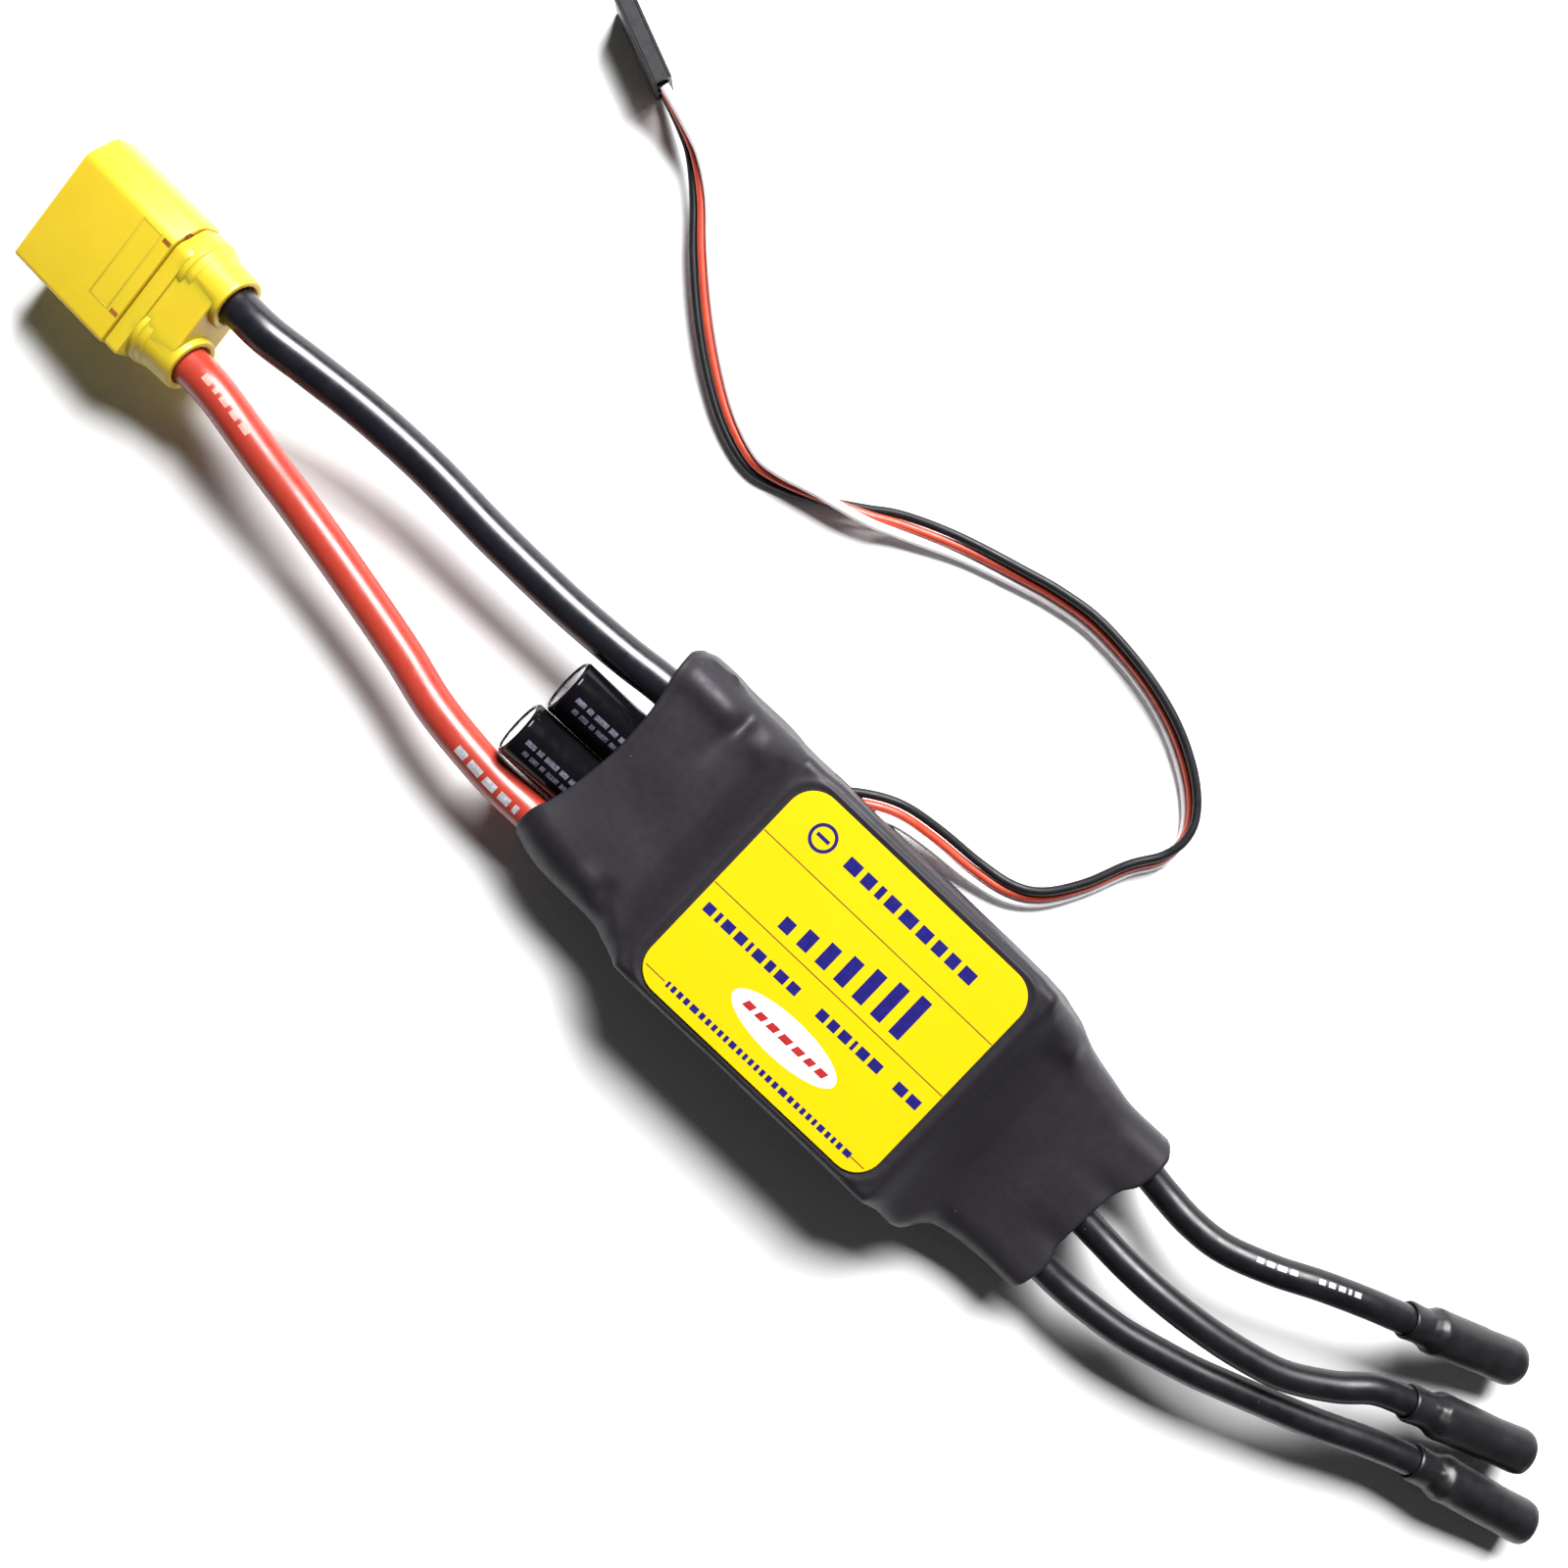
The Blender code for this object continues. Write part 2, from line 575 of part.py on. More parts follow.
def capacitor(number, inner_x, y, mats):
    """A can in a shrunk plastic skin, closed by a rubber bung that its two legs come out of.

    Its free end is tilted up and out of the wrap's mouth.
    """
    tilt = Matrix.Rotation(CAP_TILT, 4, "Y")
    shift = Matrix.Translation((-CAP_LENGTH, 0, 0))
    place = Matrix.Translation((inner_x, y, CAP_INNER_Z)) @ tilt @ shift
    can_radius = CAP_RADIUS - CAP_SKIN - 0.05 * MM
    skirt = CAP_LENGTH - 1.2 * MM
    can = (
        (0.25 * MM, 0),
        (0.25 * MM, can_radius - 0.8 * MM),
        (0.6 * MM, can_radius - 0.2 * MM),
        (1.2 * MM, can_radius),
        (skirt, can_radius),
        (skirt, can_radius - 0.4 * MM),
        (skirt - 1.4 * MM, can_radius - 0.4 * MM),
        (skirt - 1.4 * MM, 0),
    )
    turned(f"capacitor_{number}_can", can, mats["can"], place)
    skin = (
        (0.0, CAP_RADIUS - 1.1 * MM),
        (0.15 * MM, CAP_RADIUS - 0.4 * MM),
        (0.6 * MM, CAP_RADIUS),
        (CAP_LENGTH - 2.6 * MM, CAP_RADIUS),
        (CAP_LENGTH - 2.2 * MM, CAP_RADIUS - 0.1 * MM),
        (CAP_LENGTH - 1.0 * MM, CAP_RADIUS),
        (CAP_LENGTH - 0.3 * MM, CAP_RADIUS),
        (CAP_LENGTH - 0.3 * MM, CAP_RADIUS - 0.2 * MM),
        (1.3 * MM, CAP_RADIUS - 0.25 * MM),
        (0.5 * MM, CAP_RADIUS - 0.42 * MM),
        (0.2 * MM, CAP_RADIUS - 1.0 * MM),
    )
    turned(f"capacitor_{number}_skin", skin, mats["cap_skin"], place)
    bung_radius = can_radius - 0.55 * MM
    bung = (
        (skirt - 1.2 * MM, 0),
        (skirt - 1.2 * MM, bung_radius),
        (skirt + 0.5 * MM, bung_radius),
        (skirt + 0.5 * MM, 0),
    )
    turned(f"capacitor_{number}_bung", bung, mats["rubber"], place)
    leg_start = inner_x + 0.05 * MM
    leg_end = POWER_BOARD_ENDS[0] + 4.0 * MM
    height = POWER_BOARD_LOW + POWER_BOARD_THICK + GAP + CAP_LEG_RADIUS
    for name, side in (("positive", -1), ("negative", 1)):
        start = (leg_start, y + side * CAP_LEG_SPREAD, height)
        leg = ((0, 0), (0, CAP_LEG_RADIUS), (leg_end - leg_start, CAP_LEG_RADIUS), (leg_end - leg_start, 0))
        turned(f"capacitor_{number}_leg_{name}", leg, mats["tin"], Matrix.Translation(start), sides=10)


# --- The battery connector ---


def connector_place():
    """Where the connector's housing meets its tail cap. Its X points at the body."""
    yaw = Matrix.Rotation(CONNECTOR_YAW, 4, "Z")
    pitch = Matrix.Rotation(CONNECTOR_PITCH, 4, "Y")
    roll = Matrix.Rotation(CONNECTOR_ROLL, 4, "X")
    return Matrix.Translation(CONNECTOR_JOINT) @ yaw @ pitch @ roll


def keyed_outline(inset):
    """The connector's section: square corners on the positive side, cut corners on the negative."""
    half_width = HOUSING_WIDTH / 2 - inset
    half_thick = HOUSING_THICK / 2 - inset
    cut_size = HOUSING_CHAMFER - inset * 0.6
    small = max(0.6 * MM - inset, 0.2 * MM)
    return (
        (-half_width + small, -half_thick),
        (half_width - cut_size, -half_thick),
        (half_width, -half_thick + cut_size),
        (half_width, half_thick - cut_size),
        (half_width - cut_size, half_thick),
        (-half_width + small, half_thick),
        (-half_width, half_thick - small),
        (-half_width, -half_thick + small),
    )


def cylinder_cutter(name, x_range, radius, offset, place):
    start, end = x_range
    profile = ((start, 0), (start, radius), (end, radius), (end, 0))
    return turned(name, profile, None, place @ Matrix.Translation((0, offset, 0)))


def battery_connector(mats):
    """A keyed two-pole power connector: an open housing, a snap-on tail cap and two terminals."""
    place = connector_place()
    nose = -HOUSING_LENGTH
    housing = prism("connector_housing", keyed_outline(0.0), nose, -GAP / 2, mats["connector"], place)
    pocket_end = nose + POCKET_DEPTH
    pocket = prism("pocket_cutter", keyed_outline(HOUSING_WALL), nose - 1.0 * MM, pocket_end, None, place)
    cut(housing, pocket)
    cap = prism("connector_tail_cap", keyed_outline(0.25 * MM), GAP / 2, 2.4 * MM, mats["connector"], place)
    web_half = (TERMINAL_PITCH / 2, HOUSING_THICK / 2 - 0.85 * MM)
    web_low = (1.0 * MM, -web_half[0], -web_half[1])
    web_high = (COLLAR_LENGTH - 1.4 * MM, web_half[0], web_half[1])
    cut(cap, box("web_helper", web_low, web_high, None, place=place), "UNION")
    for side in (-1, 1):
        offset = side * TERMINAL_PITCH / 2
        at_terminal = place @ Matrix.Translation((0, offset, 0))
        collar = (
            (1.2 * MM, 0),
            (1.2 * MM, COLLAR_ROOT_RADIUS - 0.1 * MM),
            (3.2 * MM, COLLAR_ROOT_RADIUS - 0.1 * MM),
            (3.6 * MM, COLLAR_ROOT_RADIUS - 0.6 * MM),
            (COLLAR_LENGTH, COLLAR_END_RADIUS),
            (COLLAR_LENGTH, 0),
        )
        cut(cap, turned(f"collar_helper_{side}", collar, None, at_terminal), "UNION")
    for side in (-1, 1):
        offset = side * TERMINAL_PITCH / 2
        sign = "negative" if side > 0 else "positive"
        hole_range = (pocket_end - 1.0 * MM, 1.0 * MM)
        hole_radius = PIN_CUP_RADIUS + 0.2 * MM
        cut(housing, cylinder_cutter(f"pin_hole_{side}", hole_range, hole_radius, offset, place))
        bore_range = (-1.0 * MM, COLLAR_LENGTH + 1.0 * MM)
        cut(cap, cylinder_cutter(f"cap_bore_{side}", bore_range, COLLAR_BORE, offset, place))
        pin = (
            (nose + 1.4 * MM, 0),
            (nose + 1.4 * MM, PIN_RADIUS - 0.6 * MM),
            (nose + 2.0 * MM, PIN_RADIUS),
            (pocket_end - 0.3 * MM, PIN_RADIUS),
            (pocket_end + 0.2 * MM, PIN_CUP_RADIUS),
            (3.0 * MM, PIN_CUP_RADIUS),
            (3.0 * MM, 0),
        )
        at_terminal = place @ Matrix.Translation((0, offset, 0))
        turned(f"connector_pin_{sign}", pin, mats["gold"], at_terminal)


# --- The motor bullets ---


def bullet(number, route, mats):
    """A round socket on the end of a motor lead, in its own shrunk sleeve."""
    lead_end = Vector(route[-1])
    direction = (lead_end - Vector(route[-2])).normalized()
    place = along(lead_end - direction * LEAD_IN_SLEEVE, lead_end)
    sleeve_end = BULLET_SLEEVE_LENGTH
    neck = BULLET_NECK_LENGTH
    lead = MOTOR_LEAD_DIAMETER / 2
    wall = BULLET_SLEEVE_WALL
    big = BULLET_SLEEVE_RADIUS
    sleeve = (
        (0, lead + 0.15 * MM),
        (0, lead + 0.15 * MM + wall),
        (neck - 1.2 * MM, lead + 0.3 * MM + wall),
        (neck + 0.8 * MM, big),
        (sleeve_end - 0.5 * MM, big),
        (sleeve_end, big - 0.25 * MM),
        (sleeve_end, BULLET_RADIUS + 0.15 * MM),
        (neck + 0.8 * MM, BULLET_RADIUS + 0.15 * MM),
        (neck - 1.0 * MM, lead + 0.15 * MM),
    )
    turned(f"bullet_sleeve_{number}", sleeve, mats["shrink"], place)
    tail = LEAD_IN_SLEEVE + GAP
    mouth = tail + BULLET_LENGTH
    depth = mouth - 8.0 * MM
    socket = (
        (tail, 0),
        (tail, BULLET_RADIUS - 0.4 * MM),
        (tail + 0.4 * MM, BULLET_RADIUS),
        (mouth, BULLET_RADIUS),
        (mouth, BULLET_BORE),
        (depth, BULLET_BORE),
        (depth, 0),
    )
    turned(f"bullet_socket_{number}", socket, mats["gold"], place)


# --- The signal plug ---


def servo_plug(mats):
    """A three-way plug standing on its narrow edge, with its contacts inside."""
    place = Matrix.Translation(PLUG_TAIL) @ Matrix.Rotation(PLUG_YAW, 4, "Z")
    low = (0, -PLUG_THICK / 2, -PLUG_WIDTH / 2)
    high = (PLUG_LENGTH, PLUG_THICK / 2, PLUG_WIDTH / 2)
    housing = box("servo_plug_housing", low, high, mats["plug"], 0.25 * MM, place)
    for k in (-1, 0, 1):
        height = k * CONTACT_PITCH
        half = CONTACT_HOLE / 2
        hole_low = (-1.0 * MM, -half, height - half)
        hole_high = (PLUG_LENGTH + 1.0 * MM, half, height + half)
        cut(housing, box(f"contact_hole_{k + 2}", hole_low, hole_high, None, place=place))
        thin = half - 0.2 * MM
        contact_low = (1.6 * MM, -thin, height - thin)
        contact_high = (PLUG_LENGTH - 1.2 * MM, thin, height + thin)
        box(f"servo_contact_{k + 2}", contact_low, contact_high, mats["tin"], 0.1 * MM, place)


# --- The cords ---


def cords(mats):
    wide = 2.0 * BATTERY_LEAD_DIAMETER
    black_line = smooth_line(BLACK_LEAD_ROUTE, wide)
    red_line = smooth_line(RED_LEAD_ROUTE, wide)
    tube("battery_lead_black", black_line, BATTERY_LEAD_DIAMETER, mats["black_lead"], 3)
    tube("battery_lead_red", red_line, BATTERY_LEAD_DIAMETER, mats["red_lead"], 3)
    for number, route in enumerate(MOTOR_LEAD_ROUTES, 1):
        line = smooth_line(route, 2.0 * MOTOR_LEAD_DIAMETER)
        tube(f"motor_lead_{number}", line, MOTOR_LEAD_DIAMETER, mats["black_lead"], 3)
    for name, order in (("black", 1), ("red", 0), ("white", -1)):
        tube(f"servo_wire_{name}", ribbon_wire(order), SERVO_WIRE_DIAMETER, mats[f"{name}_lead"], 2)


def make_materials():
    return {
        "wrap": material("shrink_wrap", (0.045, 0.042, 0.05), 0.45),
        "label": material("label_yellow", (1.0, 0.85, 0.0), 0.5),
        "aluminium": material("aluminium", (0.75, 0.76, 0.78), 0.35, 1.0),
        "board": material("board_green", (0.02, 0.14, 0.06), 0.5),
        "chip": material("chip_black", (0.03, 0.03, 0.03), 0.5),
        "ferrite": material("ferrite_grey", (0.12, 0.12, 0.13), 0.6),
        "pad": material("thermal_pad_blue", (0.35, 0.5, 0.65), 0.8),
        "copper": material("tinned_copper", (0.8, 0.55, 0.4), 0.35, 1.0),
        "tin": material("tin", (0.7, 0.7, 0.7), 0.3, 1.0),
        "gold": material("gold_plate", (0.95, 0.7, 0.3), 0.25, 1.0),
        "can": material("can_aluminium", (0.8, 0.8, 0.8), 0.25, 1.0),
        "cap_skin": material("capacitor_skin", (0.01, 0.01, 0.012), 0.2),
        "rubber": material("bung_rubber", (0.04, 0.04, 0.04), 0.7),
        "connector": material("connector_yellow", (0.95, 0.7, 0.05), 0.4),
        "shrink": material("bullet_shrink", (0.03, 0.03, 0.035), 0.5),
        "plug": material("plug_black", (0.03, 0.03, 0.035), 0.5),
        "black_lead": material("silicone_black", (0.02, 0.02, 0.025), 0.3),
        "red_lead": material("silicone_red", (0.7, 0.1, 0.06), 0.35),
        "white_lead": material("pvc_white", (0.9, 0.9, 0.9), 0.4),
    }


def main():
    clear_scene()
    mats = make_materials()
    heat_shrink_sleeve(mats["wrap"])
    label(mats["label"])
    heatsink_plate(mats["aluminium"])
    boards(mats)
    power_stage(mats)
    control_parts(mats)
    for number, (inner_x, y) in enumerate(CAP_INNER_ENDS, 1):
        capacitor(number, inner_x, y, mats)
    battery_connector(mats)
    for number, route in enumerate(MOTOR_LEAD_ROUTES, 1):
        bullet(number, route, mats)
    servo_plug(mats)
    cords(mats)


main()
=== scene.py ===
"""The looks of the shrink-wrapped motor speed controller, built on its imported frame."""

import math
from collections import namedtuple

import bmesh
import bpy
from mathutils import Matrix, Vector, noise


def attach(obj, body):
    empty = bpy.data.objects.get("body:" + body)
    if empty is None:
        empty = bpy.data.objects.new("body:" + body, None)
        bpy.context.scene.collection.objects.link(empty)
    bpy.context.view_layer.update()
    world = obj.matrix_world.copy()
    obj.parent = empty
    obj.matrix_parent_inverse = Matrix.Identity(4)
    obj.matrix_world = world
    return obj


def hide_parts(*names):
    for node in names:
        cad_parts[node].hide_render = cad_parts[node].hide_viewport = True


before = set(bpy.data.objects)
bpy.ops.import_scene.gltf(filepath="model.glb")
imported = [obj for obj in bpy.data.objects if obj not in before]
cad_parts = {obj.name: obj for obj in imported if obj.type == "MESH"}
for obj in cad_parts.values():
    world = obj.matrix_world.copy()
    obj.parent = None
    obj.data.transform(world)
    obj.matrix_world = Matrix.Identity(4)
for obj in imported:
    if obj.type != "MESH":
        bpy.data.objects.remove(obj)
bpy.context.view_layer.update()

MM = 0.001
BODY = "root"
SCENE = bpy.context.scene

# --- Dimensions, which repeat the CAD's ---

LABEL_CENTRE_X = 2.0 * MM
LABEL_SIZE = (39.0 * MM, 32.7 * MM)
LABEL_TOP = 17.95 * MM
LABEL_CORNER = 3.8 * MM

CAP_RADIUS = 4.0 * MM
CAP_LENGTH = 20.0 * MM
CAP_TILT = math.radians(13.0)
CAP_INNER_Z = 6.8 * MM
CAP_INNER_ENDS = ((-28.3 * MM, 3.5 * MM), (-29.2 * MM, -4.6 * MM))

BATTERY_LEAD_DIAMETER = 5.3 * MM
MOTOR_LEAD_DIAMETER = 4.1 * MM
SERVO_WIRE_DIAMETER = 1.2 * MM
SERVO_WIRE_PITCH = 1.3 * MM
SPREAD_LENGTH = 7.0 * MM

CONNECTOR_JOINT = (-118.0 * MM, 5.0 * MM, 10.25 * MM)
CONNECTOR_YAW = math.radians(-1.4)
CONNECTOR_PITCH = math.radians(-10.5)
CONNECTOR_ROLL = math.radians(13.0)
HOUSING_LENGTH = 16.8 * MM
HOUSING_WIDTH = 19.4 * MM
HOUSING_THICK = 10.2 * MM
HOUSING_CHAMFER = 3.2 * MM
HOUSING_WALL = 1.3 * MM
POCKET_DEPTH = 11.5 * MM
TERMINAL_PITCH = 9.8 * MM
PIN_RADIUS = 2.25 * MM
COLLAR_LENGTH = 8.85 * MM
COLLAR_ROOT_RADIUS = 4.75 * MM
COLLAR_END_RADIUS = 3.9 * MM
COLLAR_BORE = 2.95 * MM

BULLET_LENGTH = 12.6 * MM
BULLET_RADIUS = 2.5 * MM
BULLET_BORE = 2.05 * MM
BULLET_SLEEVE_LENGTH = 19.0 * MM
BULLET_SLEEVE_RADIUS = 3.1 * MM
LEAD_IN_SLEEVE = 5.5 * MM

PLUG_TAIL = (-91.5 * MM, 66.9 * MM, 3.95 * MM)
PLUG_LENGTH = 12.4 * MM
PLUG_WIDTH = 7.6 * MM
PLUG_THICK = 2.6 * MM
PLUG_YAW = math.radians(158.0)
CONTACT_PITCH = 2.54 * MM
CONTACT_HOLE = 1.5 * MM

BLACK_LEAD_ROUTE = (
    (-0.0313, 0.0119, 0.0095),
    (-0.0384, 0.0118, 0.0095),
    (-0.0444, 0.0112, 0.0094),
    (-0.0505, 0.0108, 0.0092),
    (-0.0570, 0.0106, 0.0091),
    (-0.0679, 0.0107, 0.0092),
    (-0.0789, 0.0112, 0.0098),
    (-0.0889, 0.0110, 0.0110),
    (-0.0978, 0.0102, 0.0127),
    (-0.1043, 0.0095, 0.0137),
    (-0.1094, 0.0096, 0.0129),
    (-0.1122, 0.0096, 0.0124),
    (-0.1148, 0.0097, 0.0119),
)
RED_LEAD_ROUTE = (
    (-0.0313, -0.0116, 0.0090),
    (-0.0403, -0.0117, 0.0090),
    (-0.0472, -0.0116, 0.0089),
    (-0.0575, -0.0104, 0.0086),
    (-0.0661, -0.0082, 0.0084),
    (-0.0775, -0.0057, 0.0086),
    (-0.0878, -0.0036, 0.0093),
    (-0.0949, -0.0022, 0.0104),
    (-0.1041, -0.0003, 0.0115),
    (-0.1092, 0.0000, 0.0108),
    (-0.1120, 0.0001, 0.0103),
    (-0.1147, 0.0001, 0.0098),
)
MOTOR_LEAD_ROUTES = (
    (
        (0.0436, 0.0093, 0.0070),
        (0.0484, 0.0092, 0.0069),
        (0.0532, 0.0086, 0.0075),
        (0.0577, 0.0083, 0.0088),
        (0.0625, 0.0089, 0.0103),
        (0.0685, 0.0112, 0.0114),
        (0.0742, 0.0140, 0.0118),
        (0.0801, 0.0164, 0.0114),
        (0.0849, 0.0180, 0.0102),
        (0.0908, 0.0199, 0.0080),
    ),
    (
        (0.0436, -0.0011, 0.0070),
        (0.0469, -0.0011, 0.0069),
        (0.0516, -0.0013, 0.0074),
        (0.0555, -0.0014, 0.0084),
        (0.0607, -0.0012, 0.0096),
        (0.0671, -0.0005, 0.0104),
        (0.0733, 0.0006, 0.0107),
        (0.0794, 0.0024, 0.0107),
        (0.0853, 0.0058, 0.0102),
        (0.0893, 0.0090, 0.0097),
        (0.0934, 0.0106, 0.0090),
        (0.0961, 0.0114, 0.0084),
        (0.0990, 0.0123, 0.0077),
    ),
    (
        (0.0436, -0.0092, 0.0070),
        (0.0476, -0.0092, 0.0070),
        (0.0522, -0.0092, 0.0072),
        (0.0568, -0.0088, 0.0077),
        (0.0615, -0.0081, 0.0081),
        (0.0655, -0.0071, 0.0083),
        (0.0709, -0.0056, 0.0084),
        (0.0760, -0.0038, 0.0084),
        (0.0870, 0.0002, 0.0080),
        (0.0945, 0.0033, 0.0074),
        (0.1003, 0.0053, 0.0067),
        (0.1060, 0.0066, 0.0057),
    ),
)
# The ribbon's middle line, with its turn in degrees.
SERVO_ROUTE = (
    (-0.0185, 0.0108, 0.0049, 0),
    (-0.0140, 0.0150, 0.0049, 0),
    (-0.0098, 0.0184, 0.0049, 0),
    (-0.0055, 0.0205, 0.0044, 0),
    (0.0000, 0.0214, 0.0030, 8),
    (0.0066, 0.0219, 0.0019, 20),
    (0.0120, 0.0230, 0.0017, 35),
    (0.0157, 0.0255, 0.0018, 50),
    (0.0188, 0.0303, 0.0019, 60),
    (0.0212, 0.0360, 0.0020, 62),
    (0.0236, 0.0400, 0.0020, 66),
    (0.0238, 0.0436, 0.0021, 90),
    (0.0222, 0.0468, 0.0020, 110),
    (0.0183, 0.0502, 0.0020, 118),
    (0.0123, 0.0533, 0.0020, 118),
    (0.0051, 0.0552, 0.0020, 118),
    (-0.0035, 0.0559, 0.0019, 125),
    (-0.0098, 0.0551, 0.0018, 130),
    (-0.0155, 0.0536, 0.0017, 135),
    (-0.0236, 0.0511, 0.0015, 150),
    (-0.0312, 0.0479, 0.0014, 190),
    (-0.0355, 0.0456, 0.0019, 230),
    (-0.0421, 0.0428, 0.0021, 285),
    (-0.0471, 0.0410, 0.0019, 305),
    (-0.0510, 0.0405, 0.0018, 320),
    (-0.0564, 0.0422, 0.0019, 330),
    (-0.0621, 0.0455, 0.0022, 335),
    (-0.0682, 0.0501, 0.0026, 335),
    (-0.0738, 0.0552, 0.0030, 330),
    (-0.0786, 0.0602, 0.0033, 320),
    (-0.0828, 0.0635, 0.0036, 300),
    (-0.0866, 0.0652, 0.0038, 280),
    (-0.0912, 0.06678, 0.00395, 270),
)

# --- The camera, the light and the floor ---

CAMERA_AT = Vector((-28.1, 21.2, 285.8)) * MM
CAMERA_LOOKS = Vector((0.032, -0.029, -0.9991))
PICTURE_RIGHT = Vector((0.7241, 0.6888, 0.0032))
KEY_FROM = Vector((-0.24, 0.97, 0.0))
KEY_ELEVATION = math.radians(45.0)
KEY_DISTANCE = 0.9
KEY_SIZE = 0.42
KEY_POWER = 28.0
SKY_STRENGTH = 0.05


def make_camera():
    data = bpy.data.cameras.new("camera")
    data.lens = 50.0
    data.sensor_width = 36.0
    data.clip_start = 0.01
    data.clip_end = 10.0
    camera = bpy.data.objects.new("camera", data)
    SCENE.collection.objects.link(camera)
    back = -CAMERA_LOOKS.normalized()
    right = (PICTURE_RIGHT - PICTURE_RIGHT.dot(back) * back).normalized()
    up = back.cross(right)
    turn = Matrix((right, up, back)).transposed().to_4x4()
    camera.matrix_world = Matrix.Translation(CAMERA_AT) @ turn
    SCENE.camera = camera


def make_light():
    world = bpy.data.worlds.new("studio")
    world.use_nodes = True
    sky = world.node_tree.nodes["Background"]
    sky.inputs["Color"].default_value = (0.96, 0.97, 1.0, 1.0)
    sky.inputs["Strength"].default_value = SKY_STRENGTH
    SCENE.world = world
    data = bpy.data.lights.new("key", "AREA")
    data.shape = "SQUARE"
    data.size = KEY_SIZE
    data.energy = KEY_POWER
    key = bpy.data.objects.new("key", data)
    SCENE.collection.objects.link(key)
    level = KEY_FROM.normalized() * math.cos(KEY_ELEVATION)
    key.location = (level + Vector((0, 0, math.sin(KEY_ELEVATION)))) * KEY_DISTANCE
    key.rotation_mode = "QUATERNION"
    key.rotation_quaternion = key.location.to_track_quat("Z", "Y")
    SCENE.view_settings.view_transform = "Standard"
    SCENE.view_settings.look = "None"


# --- Materials ---


class Paint:
    """A Principled material with its colour, roughness and bump driven by noise in object space."""

    def __init__(self, name, roughness, metallic=0.0):
        self.material = bpy.data.materials.new(name)
        self.material.use_nodes = True
        self.tree = self.material.node_tree
        self.shader = self.tree.nodes["Principled BSDF"]
        self.shader.inputs["Metallic"].default_value = metallic
        self.place = self.add("ShaderNodeTexCoord").outputs["Object"]
        low, high = roughness
        self.link(self.spread(self.speckle(900, 3), low, high), self.shader.inputs["Roughness"])

    def add(self, kind):
        return self.tree.nodes.new(kind)

    def link(self, source, target):
        self.tree.links.new(source, target)

    def fixed(self, **sockets):
        for name, value in sockets.items():
            self.shader.inputs[name.replace("_", " ")].default_value = value
        return self

    def speckle(self, scale, detail=2.0):
        node = self.add("ShaderNodeTexNoise")
        node.inputs["Scale"].default_value = scale
        node.inputs["Detail"].default_value = detail
        self.link(self.place, node.inputs["Vector"])
        return node.outputs["Fac"]

    def spread(self, source, low, high):
        node = self.add("ShaderNodeMapRange")
        node.inputs["From Min"].default_value = 0.3
        node.inputs["From Max"].default_value = 0.7
        node.inputs["To Min"].default_value = low
        node.inputs["To Max"].default_value = high
        self.link(source, node.inputs["Value"])
        return node.outputs["Result"]

    def mix(self, factor, first, second):
        node = self.add("ShaderNodeMix")
        node.data_type = "RGBA"
        self.link(factor, node.inputs[0])
        for socket, colour in ((node.inputs[6], first), (node.inputs[7], second)):
            if isinstance(colour, tuple):
                socket.default_value = (*colour, 1.0)
            else:
                self.link(colour, socket)
        return node.outputs[2]

    def colours(self, first, second, scale):
        self.colour = self.mix(self.spread(self.speckle(scale), 0.0, 1.0), first, second)
        self.link(self.colour, self.shader.inputs["Base Color"])
        return self

    def dust(self, colour, cell, size, share):
        """Small specks of dust, on a share of the cells of a Voronoi pattern."""
        cells = self.add("ShaderNodeTexVoronoi")
        cells.inputs["Scale"].default_value = 1 / cell
        self.link(self.place, cells.inputs["Vector"])
        near = self.add("ShaderNodeMath")
        near.operation = "LESS_THAN"
        near.inputs[1].default_value = size / cell
        self.link(cells.outputs["Distance"], near.inputs[0])
        split = self.add("ShaderNodeSeparateColor")
        self.link(cells.outputs["Color"], split.inputs["Color"])
        some = self.add("ShaderNodeMath")
        some.operation = "LESS_THAN"
        some.inputs[1].default_value = share
        self.link(split.outputs["Red"], some.inputs[0])
        both = self.add("ShaderNodeMath")
        both.operation = "MULTIPLY"
        self.link(near.outputs[0], both.inputs[0])
        self.link(some.outputs[0], both.inputs[1])
        self.colour = self.mix(both.outputs[0], self.colour, colour)
        self.link(self.colour, self.shader.inputs["Base Color"])
        return self

    def bump(self, scale, height, detail=3.0, strength=0.5):
        node = self.add("ShaderNodeBump")
        node.inputs["Strength"].default_value = strength
        node.inputs["Distance"].default_value = height
        self.link(self.speckle(scale, detail), node.inputs["Height"])
        self.link(node.outputs["Normal"], self.shader.inputs["Normal"])
        return self


